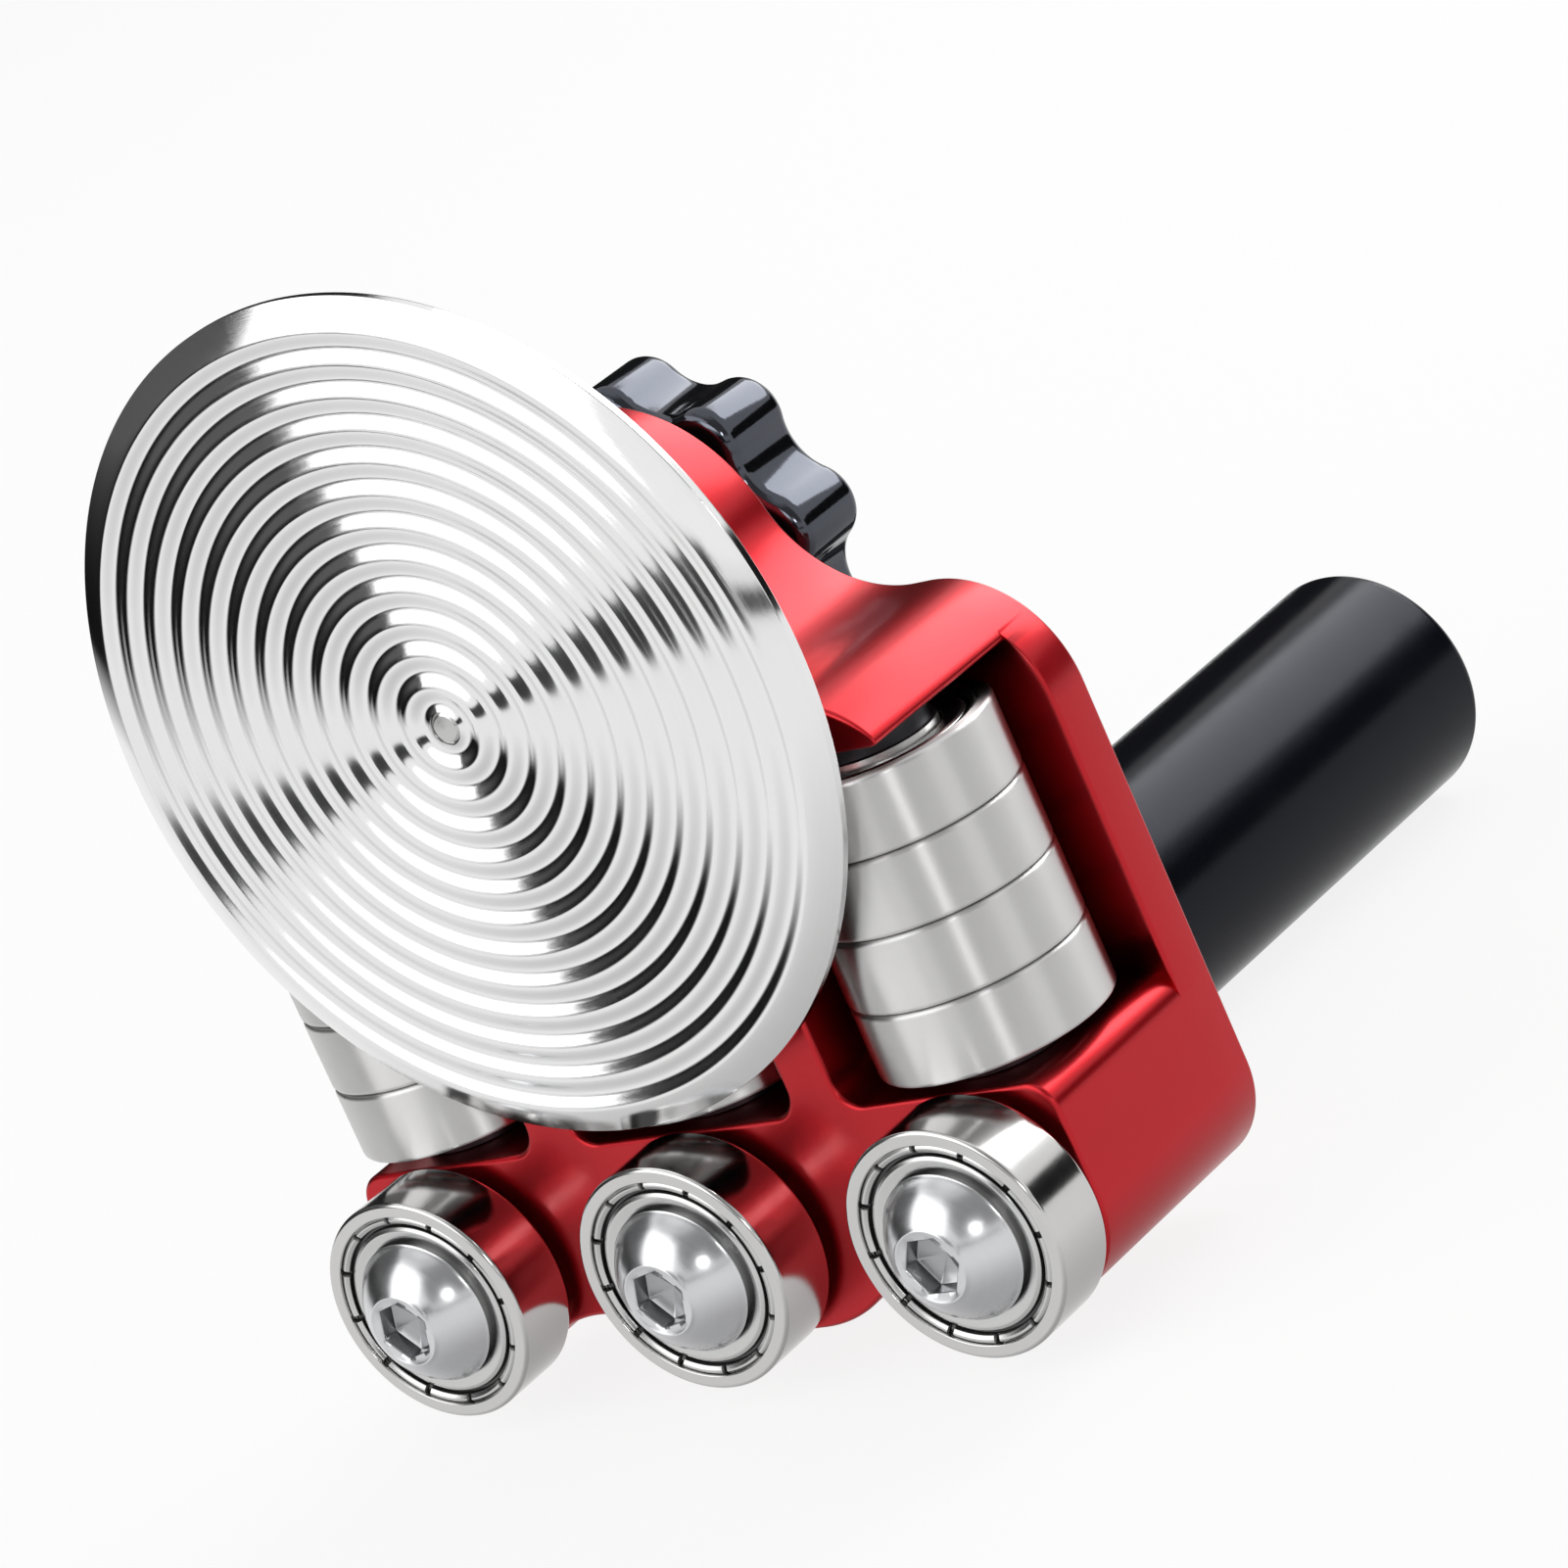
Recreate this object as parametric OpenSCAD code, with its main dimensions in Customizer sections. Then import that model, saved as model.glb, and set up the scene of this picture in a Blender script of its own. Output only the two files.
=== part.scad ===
// Hand-held disc bender: a rippled steel disc on a knob-set spindle pinches the edge of a sheet against
// three stacks of ball-bearing rollers, and a row of three guide bearings carries the bent edge.
// Millimetres. Origin where the handle's axis meets the back of the body.
// +Y runs along the handle away from the disc, +Z runs from the guide row up to the disc's spindle.

/* [Ball bearings] */
// Outside diameter of every bearing
bearing_od = 22; // [19:0.5:26]
// Bore of every bearing
bearing_bore = 8; // [6.5:0.5:9]
// Width of every bearing
bearing_w = 7; // [6.5:0.5:9]
// Inner ring, bore to shoulder
inner_wall = 2; // [1.6:0.1:2.4]
// Outer ring, shoulder to outside
outer_wall = 2; // [1.7:0.1:2.4]
// Ball diameter
ball_d = 3.97; // [3.4:0.01:4.4]
// Balls in a bearing
ball_count = 7; // [5:1:8]
// Thickness of a shield
shield_t = 0.4; // [0.3:0.05:0.6]
// Depth of a shield below the outer ring's face
shield_recess = 0.3; // [0.2:0.05:0.5]
// How far a shield's rim sits inside the outer ring
shield_seat = 0.65; // [0.4:0.05:0.8]
// Chamfer on the outer ring's edges
ring_chamfer = 0.4; // [0.2:0.05:0.6]

/* [Roller stacks] */
// Bearings in a stack
rollers_per_stack = 4; // [2:1:6]
// Distance between neighbouring stacks, and between neighbouring guides
roller_pitch = 31.5; // [30:0.5:40]
// How far the rollers stand out of the body's front
roller_proud = 2.8; // [2:0.1:4]
// Washer between a stack and a jaw
washer_t = 2; // [1:0.1:3]
// Depth that an axle's top sits in the upper jaw
axle_seat = 2; // [1:0.1:3]

/* [Guide row] */
// Height of the guide row above the handle's axis
guide_rise = 1.2; // [-2:0.1:4]
// Gap between a guide and the stack above it
guide_gap = 1.4; // [1:0.1:3]
// Spacer between a guide and the body
spacer_t = 1; // [0.8:0.1:2]
// Head diameter of a guide screw
head_d = 14; // [12:0.1:16]
// Head height of a guide screw
head_h = 4.4; // [3.6:0.1:5.5]
// Hex socket of a guide screw, across flats
socket_af = 5; // [4:0.1:6]
// Depth of the hex socket
socket_depth = 2.8; // [2:0.1:3.4]
// Depth that a guide screw goes into the body
screw_grip = 12; // [8:0.5:14]

/* [Body] */
// Body past the outer stacks' axes, on each side
side_reach = 10; // [8.5:0.5:14]
// Wall behind the pockets
back_wall = 5; // [3:0.5:9]
// Upper jaw above the pockets
jaw_t = 5.2; // [4:0.1:7]
// Neck around the hub's recess
neck_wall = 8; // [6:0.5:9]
// Radius of the hollow flanks below the neck
flank_r = 13; // [10:0.5:15]
// Radius of the shoulders
shoulder_r = 11.5; // [8:0.5:12.5]
// Radius of the lower corners
foot_r = 9; // [7:0.5:11]
// Base below the guide row's axis
base_drop = 10.1; // [9:0.1:14]
// Half width of the flat under the middle guide
lobe_flat = 5.5; // [4:0.5:7]
// Radius where that flat turns up
lobe_r = 14.6; // [12:0.2:17]
// Radius of the two hollows in the base
dip_r = 14; // [11:0.5:17]
// Room beside the rollers in a pocket
pocket_side = 2.1; // [1:0.1:3]
// Room behind the rollers in a pocket
pocket_back = 0.8; // [0.4:0.1:2]
// Radius in the corners of a pocket
pocket_r = 2.5; // [1:0.1:4]
// Radius where the lower jaw's top turns into the side
jaw_r = 3; // [1:0.1:5]

/* [Disc] */
// Thickness of the disc at its rim
disc_t = 1.6; // [1.2:0.1:2]
// Height of the ripples above the rim
ridge_h = 0.7; // [0.3:0.05:0.9]
// Ripples across the disc
ridge_count = 12; // [9:1:13]
// Plain band at the rim
rim_band = 2.3; // [1.5:0.1:4]
// Radius of the button at the disc's centre
button_r = 1.6; // [1.2:0.1:2.4]
// Room between the disc's rim and the middle guide
bend_gap = 2.4; // [1.5:0.1:4]
// Room between the disc and the rollers at rest
sheet_gap = 0.6; // [0.5:0.05:1]

/* [Spindle and hub] */
// Diameter of the spindle's thread
spindle_d = 8; // [7:0.5:9]
// Lead of the spindle's thread
thread_pitch = 1.25; // [1:0.05:1.4]
// Collar at the spindle's front end, past the thread
collar_wall = 1.55; // [1.3:0.05:1.8]
// Thickness of that collar
collar_t = 2; // [1.5:0.1:2.4]
// Thrust washer behind the collar
thrust_t = 0.8; // [0.6:0.05:1.1]
// Retaining ring behind the thrust washer
clip_t = 1; // [0.8:0.05:1.2]
// Depth of the retaining ring's groove
clip_groove = 0.5; // [0.3:0.05:0.7]
// Radial width of the retaining ring
clip_w = 1.25; // [1.1:0.05:1.35]
// Opening in the retaining ring
clip_mouth = 3; // [2:0.5:4]
// Wall of the hub around the collar
hub_wall = 2.1; // [1.6:0.1:2.6]
// Floor of the hub, behind the disc
hub_floor = 0.8; // [0.6:0.05:1]
// Hub past the retaining ring
hub_lip = 1; // [0.7:0.1:1.2]
// Wall of the threaded bush in the neck
bush_wall = 2; // [1.5:0.1:2.2]
// Metal between the hub's recess and the level of the middle axle's top
seat_wall = 0.8; // [0.5:0.1:2]

/* [Knob] */
// Lobes on the knob
knob_lobes = 8; // [6:1:8]
// Radius of the knob over its lobes
knob_r = 16.8; // [15:0.1:20]
// Radius of one lobe
lobe_tip_r = 3.8; // [3:0.1:4.2]
// How far the hollows' centres lie outside the knob
hollow_out = 2.2; // [1:0.1:3]
// Depth of the knob along the spindle
knob_depth = 9; // [7:0.5:14]
// Rounding of the lobes' edges
knob_edge_r = 1.5; // [0.5:0.1:2.5]
// Gap between the knob and the body at rest
knob_gap = 1.8; // [1.6:0.1:4]
// Cover of the knob over the spindle's end
knob_cap = 2; // [1:0.1:4]

/* [Handle] */
// Diameter of the handle
handle_d = 24.2; // [20:0.1:30]
// Length of the handle
handle_len = 88; // [60:1:140]
// Rounding of the handle's free end
handle_edge_r = 1.2; // [0.5:0.1:3]
// Diameter of the stud that holds the handle
stud_d = 10; // [8:0.5:12]
// Length of that stud inside the handle
stud_reach = 14; // [8:0.5:25]

/* [Hidden] */
// Clearances: parts at rest in each other, parts that turn, and room at an end
seat_fit = 0.02;
run_fit = 0.05;
end_room = 0.2;
ball_fit = 0.04;
shield_room = 0.25;
ring_play = 0.05;
hub_room = 0.5;
hub_end_room = 0.9;
stud_web = 2;
cut = 1;
// Turns of the knob from rest until the sheet gap is at its least
close_turns = 0.25;

sides = ["left", "middle", "right"];
roller_names = [for (s = sides) for (k = [1 : rollers_per_stack]) str(s, "_roller_", k)];
guide_names = [for (s = sides) str(s, "_guide")];
bearing_names = concat(roller_names, guide_names);
$fn = 96;

// Bearings
bearing_r = bearing_od / 2;
bore_r = bearing_bore / 2;
land_in_r = bore_r + inner_wall;
land_out_r = bearing_r - outer_wall;
ball_r = ball_d / 2;
ball_circle_r = (land_in_r + land_out_r) / 2;
race_r = ball_r + ball_fit;
ring_half = bearing_w / 2 - ring_play;
shield_rim_r = land_out_r + shield_seat;
shield_eye_r = land_in_r + shield_room;
shaft_r = bore_r - seat_fit;
washer_r = land_in_r - shield_room;

// Body and stacks, front to back
pocket_depth = 2 * bearing_r - roller_proud + pocket_back;
body_depth = pocket_depth + back_wall;
front_y = -body_depth;
roller_y = front_y - roller_proud + bearing_r;
guide_back_y = front_y - spacer_t;
guide_y = guide_back_y - bearing_w / 2;
screw_end_y = front_y + screw_grip;
stud_end_y = screw_end_y + end_room + stud_web;

// Body and stacks, bottom to top
guide_z = guide_rise;
floor_z = guide_z + bearing_r + guide_gap - washer_t;
stack_z = floor_z + washer_t;
ceiling_z = stack_z + rollers_per_stack * bearing_w + washer_t;
axle_top_z = ceiling_z + axle_seat;
axle_end_z = guide_z + shaft_r + end_room;

// Spindle, hub and disc
spindle_r = spindle_d / 2;
collar_r = spindle_r + collar_wall;
hub_bore_r = collar_r + run_fit;
hub_r = hub_bore_r + hub_wall;
recess_r = hub_r + hub_room;
spindle_z = axle_top_z + seat_wall + recess_r;
disc_r = spindle_z - guide_z - bearing_r - bend_gap;
disc_back_y = front_y - roller_proud - sheet_gap;
rim_y = disc_back_y - disc_t;
collar_y = disc_back_y + hub_floor + run_fit;
thrust_y = collar_y + collar_t + run_fit;
clip_y = thrust_y + thrust_t + run_fit;
hub_end_y = clip_y + clip_t + hub_lip;
recess_y = hub_end_y + close_turns * thread_pitch + hub_end_room;
bush_r = spindle_r + run_fit + bush_wall;
knob_y = knob_gap;

// Body outline
half_w = roller_pitch + side_reach;
neck_r = recess_r + neck_wall;
jaw_top_z = ceiling_z + jaw_t;
flank_z = jaw_top_z + flank_r;
flank_x = sqrt(pow(neck_r + flank_r, 2) - pow(flank_z - spindle_z, 2));
shoulder_x = half_w - shoulder_r;
shoulder_z = jaw_top_z - shoulder_r;
base_z = guide_z - base_drop;
foot_x = half_w - foot_r;
foot_z = base_z + foot_r;
lobe_z = base_z + lobe_r;
dip = lower_meet([lobe_flat, lobe_z], lobe_r + dip_r, [foot_x, foot_z], foot_r + dip_r);
pocket_half = bearing_r + pocket_side;

// Knob outline
lobe_circle_r = knob_r - lobe_tip_r;
hollow_circle_r = knob_r + hollow_out;
lobe_step = 360 / knob_lobes;
hollow_r = norm([
    hollow_circle_r * cos(lobe_step / 2) - lobe_circle_r,
    hollow_circle_r * sin(lobe_step / 2)
]) - lobe_tip_r;

// Colours
red = [0.72, 0.06, 0.09];
black = [0.08, 0.08, 0.1];
steel = [0.78, 0.79, 0.8];
bronze = [0.72, 0.52, 0.28];

// Lower of the two points at distance r1 from a and r2 from b, with b to the right of a
function lower_meet(a, r1, b, r2) =
    let (
        span = norm(b - a),
        along = (r1 * r1 - r2 * r2 + span * span) / (2 * span),
        off = sqrt(max(0, r1 * r1 - along * along)),
        u = (b - a) / span
    )
    a + along * u + off * [u[1], -u[0]];

// A point at angle a on a circle of radius r
function polar(r, a) = [r * cos(a), r * sin(a)];

// Rectangle between two corners
module rect(low, high) {
    translate(low) square(high - low);
}

// Rectangle between two corners with round corners
module round_rect(low, high, r) {
    rect(low + [r, 0], high - [r, 0]);
    rect(low + [0, r], high - [0, r]);
    for (x = [low[0] + r, high[0] - r], z = [low[1] + r, high[1] - r]) {
        translate([x, z]) circle(r);
    }
}

// Stands an outline drawn in X and Z up, and runs it from one Y to another
module run_y(from, to) {
    translate([0, to, 0]) rotate([90, 0, 0]) linear_extrude(to - from) children();
}

// Turns what is built along Z to run along +Y from a point
module along_y(x, y, z) {
    translate([x, y, z]) rotate([-90, 0, 0]) children();
}

// Tube or, with no bore, rod along Z
module tube(r, h, bore = 0) {
    difference() {
        cylinder(r = r, h = h);
        if (bore > 0) translate([0, 0, -cut]) cylinder(r = bore, h = h + 2 * cut);
    }
}

// Rod along Z with a chamfer at both ends
module pin(r, h, chamfer) {
    rotate_extrude()
        polygon([[0, 0], [r - chamfer, 0], [r, chamfer], [r, h - chamfer], [r - chamfer, h], [0, h]]);
}

// X of a stack or a guide, counted from the left
function column_x(i) = (i - 1) * roller_pitch;

// Puts a bearing in a stack, counted down from the upper jaw
module at_roller(column, k) {
    translate([column_x(column), roller_y, ceiling_z - washer_t - (k - 0.5) * bearing_w]) children();
}

// Puts a bearing in the guide row
module at_guide(column) {
    along_y(column_x(column), guide_y, guide_z) children();
}

// What is cut away beside the neck to leave one hollow flank
module flank_cut() {
    top_z = spindle_z + neck_r + cut;
    translate([flank_x, flank_z]) circle(flank_r);
    difference() {
        polygon([
            [0, spindle_z], [flank_x, flank_z], [flank_x + cut, flank_z],
            [flank_x + cut, top_z], [0, top_z]
        ]);
        translate([0, spindle_z]) circle(neck_r);
    }
}

// One of the two hollows in the base
module base_dip() {
    translate(dip) circle(dip_r);
    difference() {
        polygon([
            [lobe_flat, base_z - cut], [lobe_flat, lobe_z], dip,
            [foot_x, foot_z], [foot_x, base_z - cut]
        ]);
        translate([lobe_flat, lobe_z]) circle(lobe_r);
        translate([foot_x, foot_z]) circle(foot_r);
    }
}

module body_outline() {
    difference() {
        union() {
            rect([-flank_x, foot_z], [flank_x, spindle_z + neck_r]);
            rect([-shoulder_x, foot_z], [shoulder_x, jaw_top_z]);
            rect([-half_w, foot_z], [half_w, shoulder_z]);
            rect([-foot_x, base_z], [foot_x, foot_z]);
            for (s = [-1, 1]) {
                translate([s * shoulder_x, shoulder_z]) circle(shoulder_r);
                translate([s * foot_x, foot_z]) circle(foot_r);
            }
        }
        for (s = [0, 1]) mirror([s, 0]) {
            flank_cut();
            base_dip();
        }
    }
}

// Pocket of the right-hand stack, open to the front and to the side
module side_pocket() {
    round_rect([roller_pitch - pocket_half, floor_z], [half_w + pocket_half, ceiling_z], pocket_r);
    difference() {
        rect([half_w - jaw_r, floor_z - jaw_r], [half_w + pocket_half, floor_z + pocket_r]);
        translate([half_w - jaw_r, floor_z - jaw_r]) circle(jaw_r);
    }
}

module body() {
    color(red) difference() {
        run_y(front_y, 0) body_outline();
        run_y(front_y - cut, front_y + pocket_depth) {
            round_rect([-pocket_half, floor_z], [pocket_half, ceiling_z], pocket_r);
            side_pocket();
            mirror([1, 0]) side_pocket();
        }
        along_y(0, front_y - cut, spindle_z) cylinder(r = recess_r, h = recess_y - front_y + cut);
        along_y(0, front_y, spindle_z) cylinder(r = bush_r + seat_fit, h = body_depth + cut);
        along_y(0, stud_end_y - end_room, 0)
            cylinder(r = stud_d / 2 + seat_fit, h = cut + end_room - stud_end_y);
        for (i = [0 : 2]) {
            along_y(column_x(i), front_y - cut, guide_z)
                cylinder(r = bore_r, h = cut + screw_grip + end_room);
            translate([column_x(i), roller_y, base_z - cut])
                cylinder(r = bore_r, h = axle_top_z + end_room - base_z + cut);
        }
    }
}

module handle() {
    color(black) along_y(0, 0, 0) difference() {
        rotate_extrude() {
            rect([0, 0], [handle_d / 2, handle_len - handle_edge_r]);
            rect([0, 0], [handle_d / 2 - handle_edge_r, handle_len]);
            intersection() {
                translate([handle_d / 2 - handle_edge_r, handle_len - handle_edge_r]) circle(handle_edge_r);
                rect([0, 0], [handle_d / 2, handle_len]);
            }
        }
        translate([0, 0, -cut]) cylinder(r = stud_d / 2 + seat_fit, h = cut + stud_reach + end_room);
    }
}

module handle_stud() {
    color(steel) along_y(0, stud_end_y, 0) pin(stud_d / 2, stud_reach - stud_end_y, cut);
}

module spindle_bush() {
    color(bronze) along_y(0, recess_y, spindle_z) tube(bush_r, -recess_y, spindle_r + run_fit);
}

module roller_axles() {
    color(steel) for (i = [0 : 2]) {
        translate([column_x(i), roller_y, axle_end_z])
            pin(shaft_r, axle_top_z - axle_end_z, ring_chamfer);
    }
}

module axle_washers() {
    color(steel) for (i = [0 : 2], z = [floor_z, ceiling_z - washer_t]) {
        translate([column_x(i), roller_y, z]) tube(washer_r, washer_t, bore_r);
    }
}

// Domed screw with a hex socket, its shank along +Z from the seat of the head
module button_screw(shank) {
    dome_r = (pow(head_d / 2, 2) + head_h * head_h) / (2 * head_h);
    difference() {
        union() {
            intersection() {
                translate([0, 0, dome_r - head_h]) sphere(dome_r);
                translate([0, 0, -head_h]) cylinder(d = head_d, h = head_h);
            }
            translate([0, 0, -ring_chamfer]) pin(shaft_r, shank + ring_chamfer, ring_chamfer);
        }
        translate([0, 0, -head_h - cut])
            cylinder(d = socket_af / cos(30), h = socket_depth + cut, $fn = 6);
    }
}

module guide_screws() {
    color(steel) for (i = [0 : 2]) {
        along_y(column_x(i), guide_back_y - bearing_w, guide_z)
            button_screw(bearing_w + spacer_t + screw_grip);
    }
}

module guide_spacers() {
    color(steel) for (i = [0 : 2]) {
        along_y(column_x(i), guide_back_y, guide_z) tube(washer_r, spacer_t, bore_r);
    }
}

// Section of the ball race, on either ring
module race() {
    translate([ball_circle_r, 0]) circle(race_r);
}

module inner_ring() {
    rotate_extrude() difference() {
        rect([bore_r, seat_fit - bearing_w / 2], [land_in_r, bearing_w / 2 - seat_fit]);
        race();
    }
}

module outer_ring() {
    step_z = ring_half - shield_recess - shield_t;
    rotate_extrude() difference() {
        polygon([
            [land_out_r, -ring_half], [bearing_r - ring_chamfer, -ring_half],
            [bearing_r, ring_chamfer - ring_half], [bearing_r, ring_half - ring_chamfer],
            [bearing_r - ring_chamfer, ring_half], [land_out_r, ring_half]
        ]);
        race();
        for (z = [-ring_half - cut, step_z]) {
            rect([0, z], [shield_rim_r, z + shield_recess + shield_t + cut]);
        }
    }
}

module shields() {
    for (z = [shield_recess - ring_half, ring_half - shield_recess - shield_t]) {
        translate([0, 0, z]) tube(shield_rim_r - seat_fit, shield_t, shield_eye_r);
    }
}

module balls() {
    for (i = [0 : ball_count - 1]) {
        translate(concat(polar(ball_circle_r, i * 360 / ball_count), 0)) sphere(ball_r);
    }
}

module inner_rings() {
    color(steel) for (i = [0 : 2]) {
        at_guide(i) inner_ring();
        for (k = [1 : rollers_per_stack]) at_roller(i, k) inner_ring();
    }
}

// The moving pieces of one bearing, each its own node
module bearing_nodes(name) {
    color(steel) outer_ring();
    color(steel) shields();
    color(steel) balls();
}

// Half section of the rippled disc: radius across, depth up, rim face at zero and ripples below it
module disc_section() {
    wave_end = disc_r - rim_band;
    pitch = (wave_end - button_r) / (ridge_count - 0.25);
    sag = ridge_h / 2;
    wave_r = (pow(pitch / 4, 2) + sag * sag) / (2 * sag);
    difference() {
        union() {
            rect([button_r, 0], [disc_r, disc_t]);
            rect([button_r, -sag], [wave_end, disc_t]);
            for (i = [0 : ridge_count - 1]) intersection() {
                translate([button_r + (i + 0.25) * pitch, wave_r - ridge_h]) circle(wave_r);
                rect([button_r, -ridge_h], [wave_end, 0]);
            }
        }
        for (i = [0 : ridge_count - 1]) {
            translate([button_r + (i + 0.75) * pitch, -wave_r]) circle(wave_r);
        }
    }
}

module disc() {
    color(steel) along_y(0, rim_y, spindle_z) rotate_extrude() disc_section();
}

module disc_hub() {
    spigot_r = button_r - seat_fit;
    length = hub_end_y - disc_back_y;
    color(steel) along_y(0, disc_back_y, spindle_z) difference() {
        union() {
            cylinder(r = hub_r, h = length);
            translate([0, 0, -disc_t - ridge_h / 2]) cylinder(r = spigot_r, h = disc_t + ridge_h);
        }
        translate([0, 0, hub_floor]) cylinder(r = hub_bore_r, h = length);
        translate([0, 0, clip_y - disc_back_y]) cylinder(r = hub_bore_r + clip_groove, h = clip_t);
    }
}

module retaining_ring() {
    outside = hub_bore_r + clip_groove - seat_fit;
    color(steel) along_y(0, clip_y, spindle_z) translate([0, 0, seat_fit]) difference() {
        tube(outside, clip_t - 2 * seat_fit, outside - clip_w);
        translate([-clip_mouth / 2, 0, -cut]) cube([clip_mouth, 2 * outside, clip_t + 2 * cut]);
    }
}

module thrust_washer() {
    color(bronze) along_y(0, thrust_y, spindle_z) tube(collar_r, thrust_t, spindle_r + run_fit);
}

module spindle() {
    tip_y = knob_y + knob_depth - knob_cap;
    color(steel) along_y(0, collar_y, spindle_z) {
        cylinder(r = collar_r, h = collar_t);
        pin(spindle_r, tip_y - collar_y, ring_chamfer);
    }
}

// Lobes and the hollows between them, meeting on a common tangent
module knob_outline() {
    difference() {
        polygon([for (i = [0 : 2 * knob_lobes - 1])
            polar(i % 2 == 0 ? lobe_circle_r : hollow_circle_r, i * lobe_step / 2)]);
        for (i = [0 : knob_lobes - 1]) translate(polar(hollow_circle_r, (i + 0.5) * lobe_step)) circle(hollow_r);
    }
    for (i = [0 : knob_lobes - 1]) translate(polar(lobe_circle_r, i * lobe_step)) circle(lobe_tip_r);
}

module knob() {
    edge_reach = knob_r + end_room;
    color(black) along_y(0, knob_y, spindle_z) difference() {
        intersection() {
            linear_extrude(knob_depth) knob_outline();
            rotate_extrude() intersection() {
                round_rect([-edge_reach, 0], [edge_reach, knob_depth], knob_edge_r);
                rect([0, 0], [edge_reach, knob_depth]);
            }
        }
        translate([0, 0, -cut]) cylinder(r = spindle_r + seat_fit, h = knob_depth - knob_cap + cut);
    }
}

body();
handle();
handle_stud();
spindle_bush();
roller_axles();
axle_washers();
guide_screws();
guide_spacers();
inner_rings();
disc();
disc_hub();
retaining_ring();
thrust_washer();
spindle();
knob();
for (i = [0 : 2]) {
    at_guide(i) bearing_nodes(guide_names[i]);
    for (k = [1 : rollers_per_stack]) {
        at_roller(i, k) bearing_nodes(roller_names[i * rollers_per_stack + k - 1]);
    }
}
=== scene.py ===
"""Looks of a hand-held disc bender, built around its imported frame.

A rippled steel disc, stacks of bearing rollers and a row of guide bearings sit on a red body with a star
knob and a black handle. Sizes are in millimetres until a mesh is made; the frame is in metres.
"""

import logging
import math
from collections.abc import Sequence
from dataclasses import dataclass, field
from enum import Enum

import bmesh
import bpy
import numpy as np
from mathutils import Matrix
from mathutils.geometry import delaunay_2d_cdt


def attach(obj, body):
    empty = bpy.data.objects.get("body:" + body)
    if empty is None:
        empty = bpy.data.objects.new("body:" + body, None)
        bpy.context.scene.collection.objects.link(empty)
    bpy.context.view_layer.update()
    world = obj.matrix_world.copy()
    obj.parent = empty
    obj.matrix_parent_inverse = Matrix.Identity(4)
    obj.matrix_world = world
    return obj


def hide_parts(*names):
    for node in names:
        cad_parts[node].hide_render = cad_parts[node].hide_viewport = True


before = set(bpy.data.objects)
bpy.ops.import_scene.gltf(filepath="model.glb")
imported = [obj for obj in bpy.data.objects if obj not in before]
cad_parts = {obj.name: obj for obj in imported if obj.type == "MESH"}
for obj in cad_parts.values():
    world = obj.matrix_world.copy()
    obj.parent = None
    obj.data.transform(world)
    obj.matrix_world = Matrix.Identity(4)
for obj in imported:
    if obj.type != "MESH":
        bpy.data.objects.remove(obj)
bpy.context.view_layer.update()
LOG = logging.getLogger("disc_bender")
MM = 0.001
TAU = 2.0 * math.pi
WHITE = (1.0, 1.0, 1.0, 1.0)
# A corner whose half angle is greater than this, in radians, counts as straight.
STRAIGHT = 1.53
# Where the extra points beside an arc lie, as a share of the arc's reach.
BESIDE_ARC = 1.12
# Radius at which a section that goes on to a pole ends.
POLE_R = 0.3
SIDES = ("left", "middle", "right")
PITCH = 31.5
PLACES = (-PITCH, 0.0, PITCH)
SPINDLE_Z = 54.6
Triple = tuple[float, float, float]
Socket = bpy.types.NodeSocket


class Axis(Enum):
    """Way a turned piece points: rows are where its own x, y and z go in the frame, right-handed."""

    UP = ((1, 0, 0), (0, 1, 0), (0, 0, 1))
    BACK = ((0, 0, 1), (1, 0, 0), (0, 1, 0))
    FRONT = ((1, 0, 0), (0, 0, 1), (0, -1, 0))

    def matrix(self) -> np.ndarray:
        """The three directions as rows of an array."""
        return np.array(self.value, float)


class Pattern(Enum):
    """Fine structure that a finish carries."""

    TURNED = "turned"
    BLASTED = "blasted"
    MOULDED = "moulded"


class Effect(Enum):
    """Change over a surface that a shared node group gives."""

    MOTTLE = "mottle"
    LATHE_LINES = "lathe_lines"
    GRAIN = "grain"
    HANDLING = "handling"


@dataclass
class Skin:
    """Points and faces of a shape while it is worked out, in millimetres."""

    points: np.ndarray
    quads: np.ndarray = field(default_factory=lambda: np.zeros((0, 4), int))
    tris: np.ndarray = field(default_factory=lambda: np.zeros((0, 3), int))
    local: np.ndarray | None = None
    # How open each point lies, which sets painted shade in recesses.
    open: np.ndarray | None = None

    def volume(self) -> float:
        """Signed volume: a sixth of the sum of triple products over all triangles."""
        q, p = self.quads, self.points
        t = np.concatenate([self.tris, q[:, [0, 1, 2]], q[:, [0, 2, 3]]])
        return float(np.einsum("ij,ij->", p[t[:, 0]], np.cross(p[t[:, 1]], p[t[:, 2]])) / 6.0)

    def outward(self) -> "Skin":
        """The same closed shape with its faces turned so that they look out."""
        if self.volume() < 0:
            self.quads, self.tris = self.quads[:, ::-1], self.tris[:, ::-1]
        return self

    @staticmethod
    def joined(parts: list["Skin"]) -> "Skin":
        """Several shapes as one.

        Args:
            parts: the shapes, each with its own points.
        Returns:
            one shape that holds them all.
        """
        starts = np.cumsum([0] + [len(s.points) for s in parts])
        return Skin(
            np.concatenate([s.points for s in parts]),
            np.concatenate([s.quads + k for s, k in zip(parts, starts)]),
            np.concatenate([s.tris + k for s, k in zip(parts, starts)]),
            np.concatenate([s.points if s.local is None else s.local for s in parts]),
            np.concatenate([np.ones(len(s.points)) if s.open is None else s.open for s in parts]),
        )


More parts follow.
